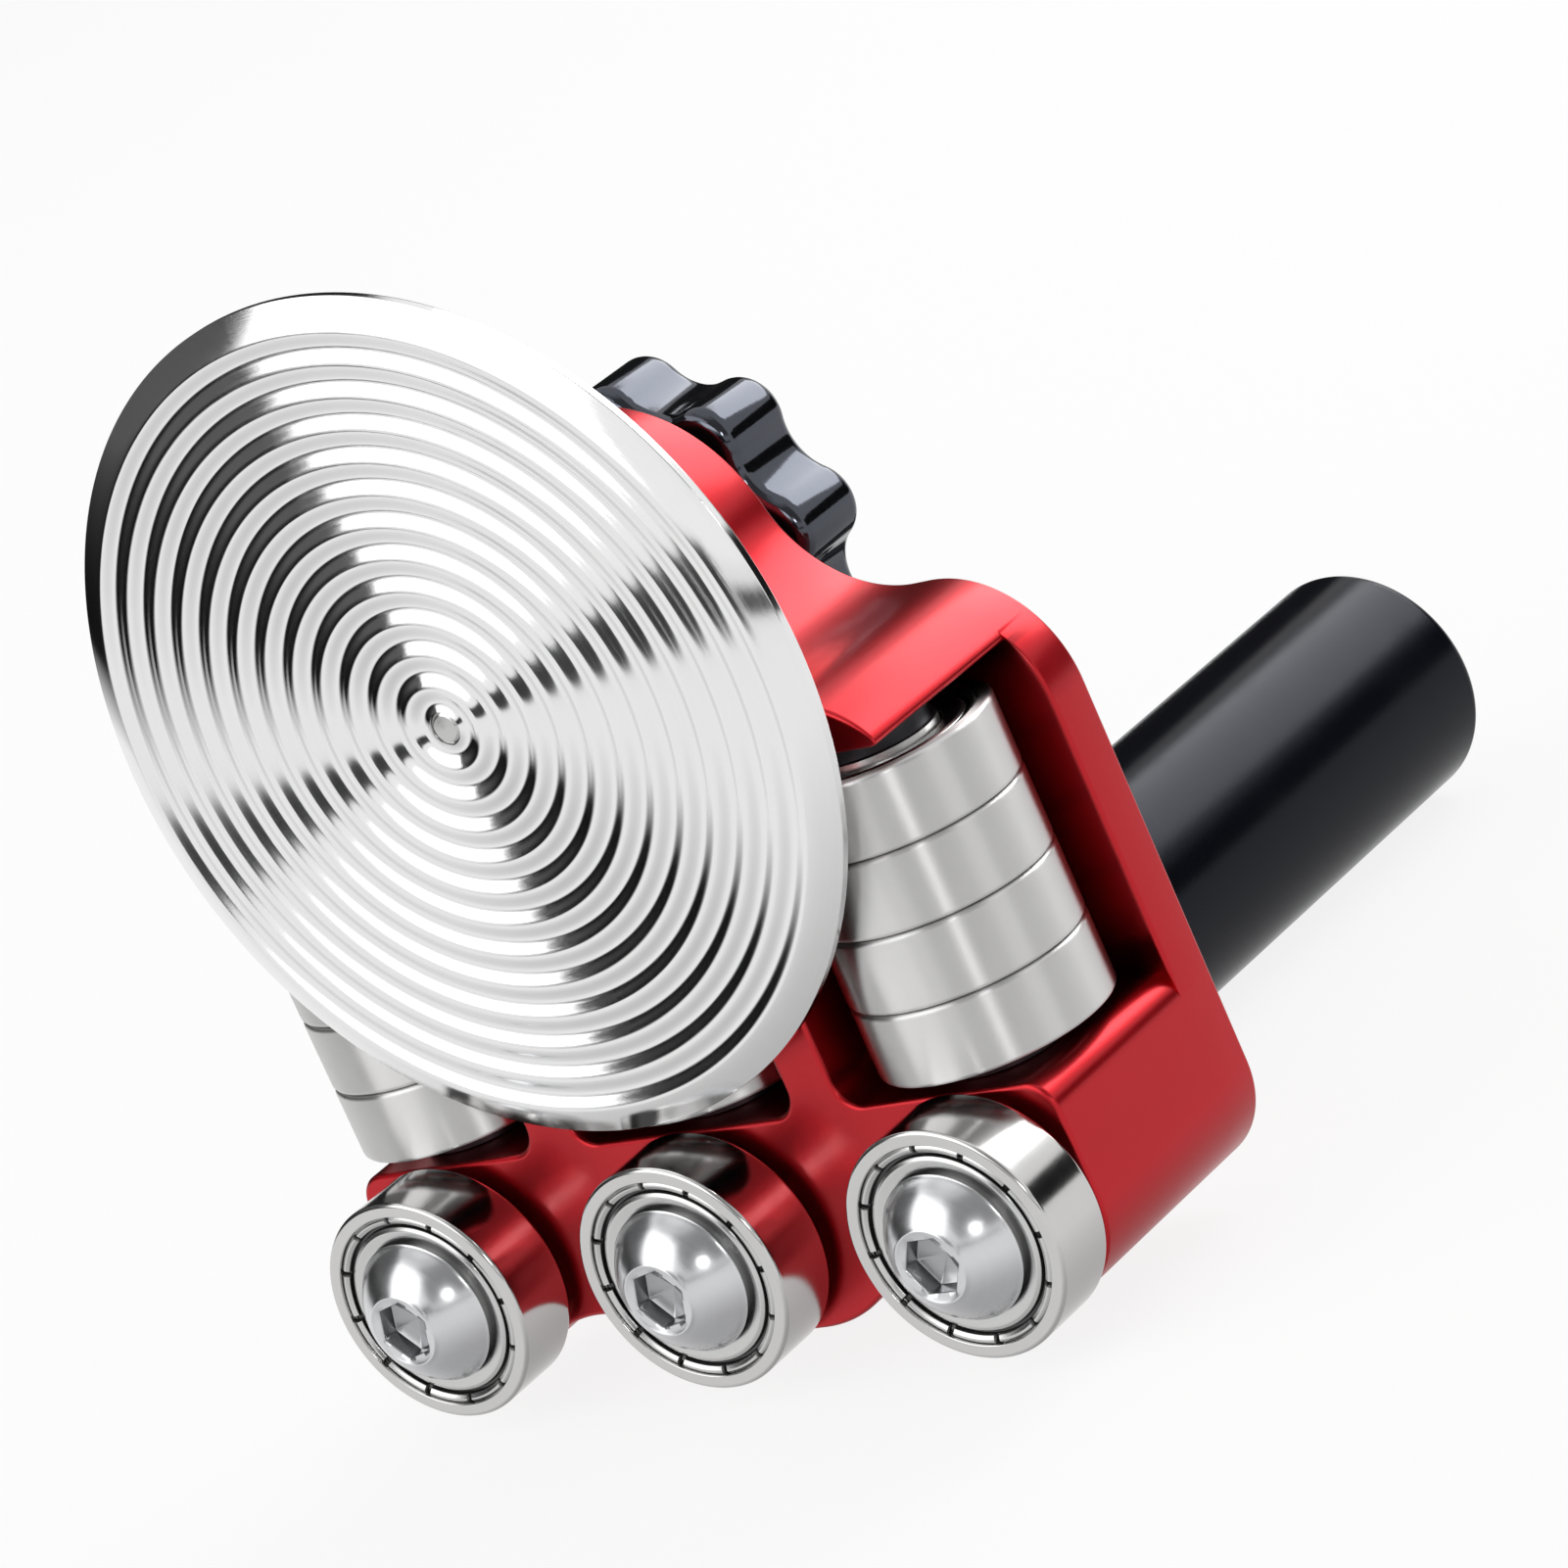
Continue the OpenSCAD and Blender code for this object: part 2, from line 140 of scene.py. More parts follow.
def arc(centre: tuple[float, float], r: float, start: float, end: float, steps: int) -> np.ndarray:
    """Points at equal angles on a circle.

    Args:
        centre: the circle's centre.
        r: its radius.
        start: first angle in degrees.
        end: last angle in degrees.
        steps: spaces between the points.
    Returns:
        the points, one row each.
    """
    a = np.radians(np.linspace(start, end, steps + 1))
    return np.stack([centre[0] + r * np.cos(a), centre[1] + r * np.sin(a)], -1)


def rounded(corners: Sequence[Triple], steps: int = 5) -> np.ndarray:
    """Open chain with arcs for corners: an arc's centre is on the bisector at r / sin(half angle).

    Args:
        corners: two coordinates and a radius for each; the ends and almost straight ones stay as they are.
        steps: spaces along each arc.
    Returns:
        the chain's points, with a close pair beside each arc so that flat stretches shade flat.
    """
    rows = [np.array([corners[0][:2]], float)]
    for before, (x, y, r), after in zip(corners, corners[1:], corners[2:]):
        p = np.array([x, y], float)
        u, v = np.array(before[:2]) - p, np.array(after[:2]) - p
        u, v = u / np.linalg.norm(u), v / np.linalg.norm(v)
        half = math.acos(float(np.clip(u @ v, -1, 1))) / 2
        if r <= 0 or half > STRAIGHT:
            rows.append(p[None])
            continue
        reach = r / math.tan(half)
        middle = p + (u + v) / np.linalg.norm(u + v) * r / math.sin(half)
        turn = math.pi - 2 * half
        t = np.linspace(0, 1, steps + 1)[:, None]
        first, last = p + u * reach - middle, p + v * reach - middle
        sweep = (np.sin((1 - t) * turn) * first + np.sin(t * turn) * last) / math.sin(turn)
        beside = reach * BESIDE_ARC
        rows.append(np.concatenate([[p + u * beside], middle + sweep, [p + v * beside]]))
    rows.append(np.array([corners[-1][:2]], float))
    return np.concatenate(rows)


def grid(rows: int, across: int, rows_join: bool, across_join: bool) -> np.ndarray:
    """Quads between the points of a grid that is counted row by row.

    Args:
        rows: number of rows.
        across: points in each row.
        rows_join: whether the last row joins the first.
        across_join: whether the end of each row joins its start.
    Returns:
        four point numbers for each quad.
    """
    i, j = np.meshgrid(np.arange(rows if rows_join else rows - 1),
                       np.arange(across if across_join else across - 1), indexing="ij")
    here, up, on = i * across, (i + 1) % rows * across, (j + 1) % across
    return np.stack([here + j, here + on, up + on, up + j], -1).reshape(-1, 4)


def lofted(radii: np.ndarray, heights: np.ndarray, axis: Axis, centre: Triple, closed: bool = True,
           angles: np.ndarray | None = None) -> Skin:
    """Surface over a grid of row and angle t: a point is (r cos t, r sin t, height) about the piece's axis.

    Args:
        radii: radius for each row and each step round the axis.
        heights: height along the axis, likewise.
        axis: the way that the piece points.
        centre: the frame's point at the foot of the axis.
        closed: whether the last row joins the first; otherwise both end on the axis in a pole.
        angles: angle of each point, or even steps if left out.
    Returns:
        the closed shape, with each point's place about its own axis kept for its finish.
    """
    rows, around = radii.shape
    k = np.arange(around)
    t = k * TAU / around if angles is None else angles
    local = np.stack([radii * np.cos(t), radii * np.sin(t), heights], -1).reshape(-1, 3)
    tris = np.zeros((0, 3), int)
    if not closed:
        on, low, last = (k + 1) % around, len(local), (rows - 1) * around
        tris = np.concatenate([np.stack([np.full(around, low), on, k], -1),
                               np.stack([last + k, last + on, np.full(around, low + 1)], -1)])
        local = np.concatenate([local, [[0, 0, heights[0].mean()], [0, 0, heights[-1].mean()]]])
    points = local @ axis.matrix() + np.array(centre, float)
    return Skin(points, grid(rows, around, rows_join=closed, across_join=True), tris, local).outward()


def tube(bore: float, outside: float, low: float, high: float, edge: float) -> np.ndarray:
    """Section of a washer, a bush or a rod with round outer edges; a rod's small bore is for its poles."""
    return rounded([(bore, low, 0), (outside, low, edge), (outside, high, edge), (bore, high, 0)])


def turned(profile: np.ndarray, axis: Axis, centre: Triple, around: int = 96, closed: bool = True) -> Skin:
    """Surface of revolution: every point (r, height) of the profile goes round the axis.

    Args:
        profile: radius and height of each point.
        axis: the way that the piece points.
        centre: the frame's point at the foot of the axis.
        around: points round the axis.
        closed: whether the profile is a loop.
    Returns:
        the closed shape.
    """
    spread = np.ones(around)
    return lofted(profile[:, :1] * spread, profile[:, 1:] * spread, axis, centre, closed)


def link(name: str, data: bpy.types.ID) -> bpy.types.Object:
    """New object in the scene around a mesh, a lamp or a camera.

    Args:
        name: the object's name.
        data: what it holds.
    Returns:
        the object.
    """
    made = bpy.data.objects.new(name, data)
    bpy.context.scene.collection.objects.link(made)
    return made


def mesh_of(name: str, skin: Skin, unit: float = MM) -> bpy.types.Mesh:
    """A shape as a mesh.

    Args:
        name: the mesh's name.
        skin: the shape.
        unit: the shape's unit in metres.
    Returns:
        the mesh.
    """
    mesh = bpy.data.meshes.new(name)
    mesh.from_pydata((skin.points * unit).tolist(), [], skin.quads.tolist() + skin.tris.tolist())
    return mesh


def note(mesh: bpy.types.Mesh, name: str, values: np.ndarray) -> None:
    """Keeps a number or a vector for each point of a mesh.

    Args:
        mesh: the mesh.
        name: the attribute's name.
        values: one row for each point.
    """
    kind, key = ("FLOAT", "value") if values.ndim == 1 else ("FLOAT_VECTOR", "vector")
    made = mesh.attributes.get(name) or mesh.attributes.new(name, kind, "POINT")
    made.data.foreach_set(key, values.astype(np.float32).ravel())


def smooth(mesh: bpy.types.Mesh, sharp: float) -> None:
    """Shades a mesh smoothly, apart from edges that bend more than this many degrees."""
    mesh.polygons.foreach_set("use_smooth", np.ones(len(mesh.polygons), bool))
    mesh.set_sharp_from_angle(angle=math.radians(sharp))


def make_piece(name: str, skin: Skin, body: str, finish: "Finish", nodes: list[str],
               sharp: float = 35.0, around: str = "") -> bpy.types.Object:
    """Puts a shape into the scene as a piece that stands for CAD nodes.

    Args:
        name: the piece's name.
        skin: its shape in millimetres.
        body: the body that it moves with.
        finish: its finish.
        nodes: the CAD nodes that it stands for.
        sharp: edges that bend more than this many degrees stay sharp.
        around: letter of the axis that stretched highlights go round, or nothing.
    Returns:
        the new object.
    """
    mesh = mesh_of(name, skin)
    placed = skin.local is not None
    if placed:
        note(mesh, "place", skin.local)
    # Painted shade: each point's openness is kept for a finish that darkens recesses.
    if finish.painted_shade_keep < 1.0 and skin.open is not None:
        note(mesh, "open", skin.open)
    smooth(mesh, sharp)
    mesh.validate()
    mesh.materials.append(finish.material(placed, around))
    piece = link(name, mesh)
    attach(piece, body)
    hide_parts(*nodes)
    LOG.info("%s: %d faces", name, len(mesh.polygons))
    return piece


def dress(node: str, finish: "Finish") -> None:
    """Gives a CAD node that stays in sight a finish.

    Args:
        node: the node's name.
        finish: its finish.
    """
    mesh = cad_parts[node].data
    mesh.materials.clear()
    mesh.materials.append(finish.material(placed=False))


class Nodes:
    """Short way to fill a node tree."""

    def __init__(self, tree: bpy.types.NodeTree) -> None:
        """Keeps the tree."""
        self.tree = tree

    @classmethod
    def fresh(cls, owner: bpy.types.Material | bpy.types.World) -> "Nodes":
        """Filler for the emptied tree of a material or a world."""
        owner.use_nodes = True
        owner.node_tree.nodes.clear()
        return cls(owner.node_tree)

    def add(self, kind: str, inputs: dict | None = None, **settings: object) -> bpy.types.Node:
        """Adds a node.

        Args:
            kind: the node's type.
            inputs: value or output socket for each input, by name or number.
            settings: the node's own settings.
        Returns:
            the node.
        """
        node = self.tree.nodes.new(kind)
        for key, value in settings.items():
            setattr(node, key, value)
        for key, value in (inputs or {}).items():
            if isinstance(value, Socket):
                self.tree.links.new(value, node.inputs[key])
            else:
                node.inputs[key].default_value = value
        return node

    def maths(self, operation: str, *values: Socket | float) -> Socket:
        """Result of a Math node on the given values or sockets."""
        return self.add("ShaderNodeMath", dict(enumerate(values)), operation=operation).outputs[0]

    def blend(self, first: Socket, second: Socket, share: float) -> Socket:
        """Sum of two values, of which the first has the given share."""
        parts = [self.maths("MULTIPLY", k, s) for k, s in ((first, share), (second, 1 - share))]
        return self.maths("ADD", *parts)

    def scaled(self, vector: Socket, scale: Socket | float) -> Socket:
        """A vector or a colour times a number."""
        return self.add("ShaderNodeVectorMath", {0: vector, "Scale": scale}, operation="SCALE").outputs[0]

    def ranged(self, value: Socket, start: float, end: float, low: float, high: float) -> Socket:
        """A value carried from one range to another and kept inside it."""
        inputs = {"Value": value, "From Min": start, "From Max": end, "To Min": low, "To Max": high}
        return self.add("ShaderNodeMapRange", inputs).outputs[0]

    def noise(self, place: Socket, scale: Socket | float, detail: float, **more: float) -> Socket:
        """Value of a noise at a place."""
        inputs = {"Vector": place, "Scale": scale, "Detail": detail, **more}
        return self.add("ShaderNodeTexNoise", inputs).outputs["Fac"]


class Effects:
    """Makers of the shared node groups: each takes a filler, a place and a density, and returns a value."""

    FINER = 5.3
    BROAD_SHARE = 0.65
    DRIFT_SCALE = 0.22
    DRIFT = 0.25
    LINE_ROUGHNESS = 0.62
    SMEAR_TURN = (0.4, 0.7, 0.3)
    SMEAR_STRETCH = (1.0, 0.35, 0.8)
    SMEAR_BEND = 0.6
    SMEAR_PEAKS = (0.52, 0.72)

    @classmethod
    def mottle(cls, fill: Nodes, place: Socket, density: Socket) -> Socket:
        """Slow cloudy change over a surface, from two noises of unlike size."""
        finer = fill.noise(place, fill.maths("MULTIPLY", density, cls.FINER), 2.0)
        return fill.blend(fill.noise(place, density, 3.0), finer, cls.BROAD_SHARE)

    @classmethod
    def lathe_lines(cls, fill: Nodes, place: Socket, density: Socket) -> Socket:
        """Fine lines round an axis: noise read at the radius and the height, and a little of the place.

        Args:
            fill: filler of the group.
            place: each point's place about its axis.
            density: the lines' density.
        Returns:
            the lines' value.
        """
        x, y, height = fill.add("ShaderNodeSeparateXYZ", {"Vector": place}).outputs
        squares = fill.maths("ADD", fill.maths("POWER", x, 2.0), fill.maths("POWER", y, 2.0))
        drift = fill.maths("MULTIPLY", fill.noise(place, cls.DRIFT_SCALE, 1.0), cls.DRIFT)
        radius = fill.maths("SQRT", squares)
        across = fill.add("ShaderNodeCombineXYZ", {"X": radius, "Y": height, "Z": drift})
        return fill.noise(across.outputs[0], density, 4.0, Roughness=cls.LINE_ROUGHNESS)

    @staticmethod
    def grain(fill: Nodes, place: Socket, density: Socket) -> Socket:
        """Even fine grain of a blasted or moulded surface, from noise of one small size."""
        return fill.noise(place, density, 2.0)

    @classmethod
    def handling(cls, fill: Nodes, place: Socket, density: Socket) -> Socket:
        """Faint smears of handling: noise that is stretched one way and cut so that only its peaks show."""
        inputs = {"Vector": place, "Rotation": cls.SMEAR_TURN, "Scale": cls.SMEAR_STRETCH}
        bent = fill.add("ShaderNodeMapping", inputs).outputs[0]
        smear = fill.noise(bent, density, 5.0, Distortion=cls.SMEAR_BEND)
        return fill.ranged(smear, *cls.SMEAR_PEAKS, 0.0, 1.0)

    @classmethod
    def group(cls, effect: Effect) -> bpy.types.NodeTree:
        """The node group of an effect, made when it is first asked for.

        Args:
            effect: which effect.
        Returns:
            the group.
        """
        name = effect.value
        if name in bpy.data.node_groups:
            return bpy.data.node_groups[name]
        tree = bpy.data.node_groups.new(name, "ShaderNodeTree")
        for label, way, kind in (("Place", "INPUT", "Vector"), ("Density", "INPUT", "Float"),
                                 ("Value", "OUTPUT", "Float")):
            tree.interface.new_socket(label, in_out=way, socket_type=f"NodeSocket{kind}")
        makers = {Effect.MOTTLE: cls.mottle, Effect.LATHE_LINES: cls.lathe_lines, Effect.GRAIN: cls.grain,
                  Effect.HANDLING: cls.handling}
        fill = Nodes(tree)
        place, density = fill.add("NodeGroupInput").outputs[:2]
        fill.add("NodeGroupOutput", {"Value": makers[effect](fill, place, density)})
        return tree


@dataclass(frozen=True)
class Finish:
    """How a surface looks: colour, gloss, the fine structure that it carries, and painted shade in its
    recesses where asked for.
    """

    name: str
    colour: Triple
    metallic: float
    roughness: tuple[float, float]
    pattern: Pattern
    density: float
    bump: float
    tint: float = 0.06
    smear: float = 0.05
    coat: float = 0.0
    coat_roughness: float = 0.2
    coat_ior: float = 1.7
    specular: float = 0.5
    gleam: Triple = (1.0, 1.0, 1.0)
    stretch: float = 0.0
    stretch_turn: float = 0.25
    # Share of the colour kept where a point is least open: painted shade in recesses.
    painted_shade_keep: float = 1.0
    noise_range: tuple[float, float] = (0.3, 0.7)
    cloud_scale: float = 0.09
    smear_scale: float = 0.12
    relief: float = 0.0001

    def material(self, placed: bool, around: str = "") -> bpy.types.Material:
        """The finish as a material, made once for pieces with a place about their axis and once for others.

        Args:
            placed: whether the piece keeps each point's place about its own axis.
            around: letter of the axis that stretched highlights go round, or nothing.
        Returns:
            the material.
        """
        name = f"{self.name}_{'turned' if placed else 'flat'}{around}"
        if name in bpy.data.materials:
            return bpy.data.materials[name]
        made = bpy.data.materials.new(name)
        fill = Nodes.fresh(made)
        if placed:
            place = fill.add("ShaderNodeAttribute", attribute_name="place").outputs["Vector"]
        else:
            place = fill.scaled(fill.add("ShaderNodeTexCoord").outputs["Object"], 1.0 / MM)
        structure = Effect.LATHE_LINES if self.pattern is Pattern.TURNED and placed else Effect.GRAIN
        effects = {structure: self.density, Effect.MOTTLE: self.cloud_scale,
                   Effect.HANDLING: self.smear_scale}
        groups = (fill.add("ShaderNodeGroup", {"Place": place, "Density": density},
                           node_tree=Effects.group(effect)) for effect, density in effects.items())
        lines, cloud, smear = (group.outputs[0] for group in groups)
        mixed = fill.blend(lines, cloud, 0.5)
        rough = fill.maths("ADD", fill.ranged(mixed, *self.noise_range, *self.roughness),
                           fill.maths("MULTIPLY", smear, self.smear))
        dark, pale = (tuple(min(1.0, c * share) for c in self.colour) + (1.0,)
                      for share in (1 - self.tint, 1 + self.tint))
        shade = fill.add("ShaderNodeMix", {"Factor": mixed, "A": dark, "B": pale}, data_type="RGBA")
        colour = shade.outputs["Result"]
        # Painted shade: the colour darkens where the piece's open attribute falls, in pockets, grooves and
        # sockets.
        if self.painted_shade_keep < 1.0:
            depth = fill.add("ShaderNodeAttribute", attribute_name="open").outputs["Fac"]
            keep = fill.ranged(depth, 0.0, 1.0, self.painted_shade_keep, 1.0)
            colour = fill.scaled(colour, keep)
        relief = fill.add("ShaderNodeBump", {"Height": lines, "Strength": self.bump,
                                             "Distance": self.relief}).outputs[0]
        surface = fill.add("ShaderNodeBsdfPrincipled", {
            "Base Color": colour, "Metallic": self.metallic, "Roughness": rough, "Normal": relief,
            "Coat Weight": self.coat, "Coat Roughness": self.coat_roughness, "Coat IOR": self.coat_ior,
            "Specular IOR Level": self.specular, "Specular Tint": self.gleam + (1.0,),
        })
        if around:
            surface.inputs["Anisotropic"].default_value = self.stretch
            surface.inputs["Anisotropic Rotation"].default_value = self.stretch_turn
            way = fill.add("ShaderNodeTangent", direction_type="RADIAL", axis=around)
            fill.tree.links.new(way.outputs[0], surface.inputs["Tangent"])
        fill.add("ShaderNodeOutputMaterial", {"Surface": surface.outputs[0]})
        return made


class Finishes:
    """The object's finishes."""

    # Painted shade darkens the red deep inside the pockets.
    RED = Finish("red_anodised", (0.5, 0.008, 0.015), 1.0, (0.29, 0.38), Pattern.BLASTED, 9.0, 0.1,
                 coat=0.25, painted_shade_keep=0.25)
    GRIP = Finish("black_grip", (0.004, 0.0045, 0.007), 0.0, (0.15, 0.21), Pattern.BLASTED, 7.0, 0.1,
                  specular=0.13, gleam=(0.72, 0.78, 1.0))
    KNOB = Finish("black_knob", (0.075, 0.08, 0.095), 0.95, (0.07, 0.12), Pattern.MOULDED, 2.0, 0.03)
    DISC = Finish("polished_disc", (0.82, 0.82, 0.82), 1.0, (0.07, 0.12), Pattern.TURNED, 7.0, 0.06)
    RACE = Finish("ground_steel", (0.66, 0.655, 0.65), 1.0, (0.29, 0.37), Pattern.TURNED, 9.0, 0.06,
                  stretch=0.98)
    POLISHED = Finish("polished_ring", (0.6, 0.595, 0.59), 1.0, (0.1, 0.18), Pattern.TURNED, 9.0, 0.04)
    # Painted shade darkens the shield's groove and the gaps in its bead.
    SHIELD = Finish("pressed_shield", (0.6, 0.6, 0.595), 1.0, (0.16, 0.26), Pattern.TURNED, 6.0, 0.08,
                    painted_shade_keep=0.12)
    PRESSED = Finish("pressed_steel", (0.56, 0.56, 0.555), 1.0, (0.16, 0.26), Pattern.TURNED, 6.0, 0.08)
    SCREW = Finish("stainless_screw", (0.6, 0.605, 0.62), 1.0, (0.12, 0.2), Pattern.TURNED, 5.0, 0.04)
    # Painted shade darkens the inside of the hex socket.
    DOMED = Finish("stainless_dome", (0.66, 0.665, 0.68), 1.0, (0.2, 0.28), Pattern.TURNED, 5.0, 0.04,
                   painted_shade_keep=0.6)
    # Near-black washer colour paints the shade at the ends of each roller stack, under the pocket's
    # ceiling.
    SHADED_WASHER = Finish("washer_painted_shade", (0.05, 0.05, 0.055), 1.0, (0.3, 0.4), Pattern.TURNED, 6.0, 0.08)
    BRONZE = Finish("turned_bronze", (0.6, 0.4, 0.2), 1.0, (0.2, 0.3), Pattern.TURNED, 6.0, 0.08)


@dataclass
class Bearing:
    """One shielded ball bearing: an outer ring and two pressed shields that turn with it."""

    name: str
    centre: Triple
    axis: Axis
    guide: bool = False
    r: float = 11.0
    half: float = 3.45
    land: float = 9.0
    rim: float = 9.65
    step: float = 0.7
    ball_circle: float = 7.5
    race: float = 2.025
    ring_edges: tuple[float, float] = (0.12, 0.4)
    ring_around: int = 144
    shield_around: tuple[int, int] = (96, 360)
    ticks: int = 12
    tick_width: float = 2.4
    tick_depth: float = 0.45
    bead_r: float = 8.84
    bead_low: float = 0.1
    groove_r: float = 8.3
    groove: tuple[float, float] = (0.3, 0.4)
    # Radius, height above the seat and rounding: a crimped bead, a groove and a dish down to the eye.
    shield_section: tuple[Triple, ...] = (
        (9.6, 0.0, 0), (9.6, 0.38, 0.12), (9.26, 0.58, 0.24), (8.86, 0.34, 0.12), (8.8, -0.2, 0.06),
        (8.5, -0.2, 0.06), (8.42, 0.26, 0.12), (8.05, 0.42, 0.3), (7.1, 0.26, 0.5), (6.3, 0.14, 0.06),
        (6.26, 0.0, 0), (7.7, 0.0, 0), (7.9, -0.5, 0), (8.95, -0.5, 0), (8.97, 0.0, 0))

    def ring_profile(self) -> np.ndarray:
        """Section of the outer ring: rounded edges, a step for each shield and the balls' groove."""
        seat, (inner, outer) = self.half - self.step, self.ring_edges
        half = [(self.land, seat, 0), (self.rim, seat, 0), (self.rim, self.half, inner),
                (self.r, self.half, outer)]
        outside = rounded([(r, -h, bend) for r, h, bend in half] + half[::-1])
        reach = math.degrees(math.acos((self.land - self.ball_circle) / self.race))
        return np.concatenate([outside, arc((self.ball_circle, 0.0), self.race, reach, -reach, 12)])

    def shield(self, flip: float) -> Skin:
        """One shield: its section goes round, a guide's bead is cut by short gaps at even angles, and the
        groove and the gaps get painted shade.

        Args:
            flip: 1 for the shield at the front of the axis, -1 for the other.
        Returns:
            the shape.
        """
        around = self.shield_around[self.guide]
        section = rounded(self.shield_section, 3)
        r, height = section[:, :1], section[:, 1:]
        spacing = 360.0 / self.ticks
        t = np.arange(around) * 360.0 / around
        gap = np.abs((t + spacing / 2) % spacing - spacing / 2) < self.tick_width / 2
        cut = ((r > self.bead_r) & (height > self.bead_low)) * gap * float(self.guide)
        seat = self.half - self.step
        heights = flip * (seat + height - cut * self.tick_depth)
        skin = lofted(r * np.ones(around), heights, self.axis, self.centre)
        # Painted shade: the groove and the gaps cut in the bead count as less open, so their colour
        # darkens.
        top, fall = self.groove
        deep = np.clip((top - height) / fall, 0, 1) * (r > self.groove_r)
        skin.open = (1 - np.maximum(deep, cut)).ravel()
        return skin

    def build(self) -> None:
        """Makes the ring and the shields, and dresses the balls."""
        ring = turned(self.ring_profile(), self.axis, self.centre, self.ring_around)
        finish = Finishes.POLISHED if self.guide else Finishes.RACE
        make_piece(f"{self.name}_outer_ring", ring, self.name, finish,
                   [f"{self.name}_ring"], around="" if self.guide else "Z")
        shields = Skin.joined([self.shield(1.0), self.shield(-1.0)])
        make_piece(f"{self.name}_pressed_shields", shields, self.name, Finishes.SHIELD,
                   [f"{self.name}_shields"])
        dress(f"{self.name}_balls", Finishes.RACE)


@dataclass
class RollerStacks:
    """Three stacks of four bearings on axles, with washers on the inner rings."""

    y: float = -16.8
    top_z: float = 41.6
    width: float = 7.0
    count: int = 4
    shaft_r: float = 3.98
    axle: tuple[float, float] = (5.38, 45.6)
    axle_around: int = 64
    washer: Triple = (4.0, 5.75, 2.0)
    washer_z: tuple[float, float] = (11.6, 41.6)

    def build(self) -> None:
        """Makes the rollers, the axles and the washers."""
        axles, washers = [], []
        bore, outside, thick = self.washer
        rod, ring = tube(0.4, self.shaft_r, *self.axle, 0.4), tube(bore, outside, 0, thick, 0.15)
        for side, x in zip(SIDES, PLACES):
            for k in range(self.count):
                z = self.top_z - (k + 0.5) * self.width
                Bearing(f"{side}_roller_{k + 1}", (x, self.y, z), Axis.UP).build()
            axles.append(turned(rod, Axis.UP, (x, self.y, 0), self.axle_around, closed=False))
            washers += [turned(ring, Axis.UP, (x, self.y, z)) for z in self.washer_z]
        make_piece("roller_axle_rods", Skin.joined(axles), "frame", Finishes.SCREW,
                   ["roller_axles"])
        # The washers are near black: painted shade.
        make_piece("axle_washer_rings", Skin.joined(washers), "frame", Finishes.SHADED_WASHER,
                   ["axle_washers"])


@dataclass
class GuideRow:
    """Three guide bearings held by domed screws with hex sockets, each on a spacer."""

    y: float = -29.5
    z: float = 1.2
    seat_y: float = -33.0
    head_r: float = 7.0
    head_h: float = 4.4
    shank_r: float = 3.98
    shank: float = 20.0
    socket: float = 5.0
    socket_turns: Triple = (17.0, 19.0, 30.0)
    # Share of the hexagon's radius, what is added to it, height and openness of each row of the socket; the
    # openness sets painted shade.
    socket_rows: tuple[tuple[float, float, float, float], ...] = (
        (1.0, 0.1, 3.44, 1.0), (1.0, 0.02, 3.36, 0.9), (1.0, 0.0, 3.25, 0.7), (1.0, 0.0, 1.7, 0.0),
        (1.0, -0.15, 1.6, 0.0), (0.5, 0.0, 1.35, 0.0), (0.08, 0.0, 1.1, 0.0))
    crown: tuple[Triple, ...] = ((3.5, 3.66, 0.2), (3.1, 3.52, 0))
    dome_eye: float = 3.75
    dome_rows: int = 26
    around: int = 144
    spacer: Triple = (4.0, 5.75, 1.0)
    spacer_y: float = -26.0

    def screw(self, x: float, socket_turn: float) -> Skin:
        """A screw: its section goes round, and inside the dome each row's radius turns into a hexagon's.

        Args:
            x: place along the row.
            socket_turn: how far the socket is turned, in degrees.
        Returns:
            the shape.
        """
        ball = (self.head_r**2 + self.head_h**2) / (2 * self.head_h)
        r = np.linspace(self.head_r - 0.12, self.dome_eye, self.dome_rows)
        dome = np.stack([r, self.head_h - ball + np.sqrt(ball**2 - r**2)], -1)
        below = rounded([(POLE_R, -self.shank, 0), (self.shank_r, -self.shank, 0.4),
                         (self.shank_r, -0.05, 0.1), (self.head_r, 0.0, 0.08), (self.head_r, 0.14, 0)])
        crown = rounded([(*dome[-1], 0), *self.crown], 6)
        outside = np.concatenate([below, dome, crown[1:]])
        t = np.arange(self.around) * TAU / self.around + math.radians(socket_turn)
        hexagon = self.socket / 2 / np.cos((t + math.pi / 6) % (math.pi / 3) - math.pi / 6)
        share, more, level, unshaded = np.array(self.socket_rows).T[..., None]
        spread = np.ones(self.around)
        radii = np.concatenate([outside[:, :1] * spread, share * hexagon + more])
        heights = np.concatenate([outside[:, 1:] * spread, level * spread])
        skin = lofted(radii, heights, Axis.FRONT, (x, self.seat_y, self.z), closed=False)
        # Painted shade: the socket's deeper rows and its floor count as less open, so their colour darkens.
        skin.open = np.append(np.repeat(np.append(np.ones(len(outside)), unshaded), self.around), [1.0, 0.0])
        return skin

    def build(self) -> None:
        """Makes the guides, the screws and the spacers."""
        bore, outside, thick = self.spacer
        for side, x in zip(SIDES, PLACES):
            Bearing(f"{side}_guide", (x, self.y, self.z), Axis.FRONT, guide=True).build()
        screws = Skin.joined([self.screw(x, turn) for x, turn in zip(PLACES, self.socket_turns)])
        make_piece("domed_guide_screws", screws, "frame", Finishes.DOMED, ["guide_screws"])
        ring = tube(bore, outside, 0, thick, 0.1)
        spacers = Skin.joined([turned(ring, Axis.BACK, (x, self.spacer_y, self.z)) for x in PLACES])
        make_piece("guide_spacer_rings", spacers, "frame", Finishes.SCREW, ["guide_spacers"])
        dress("inner_rings", Finishes.RACE)


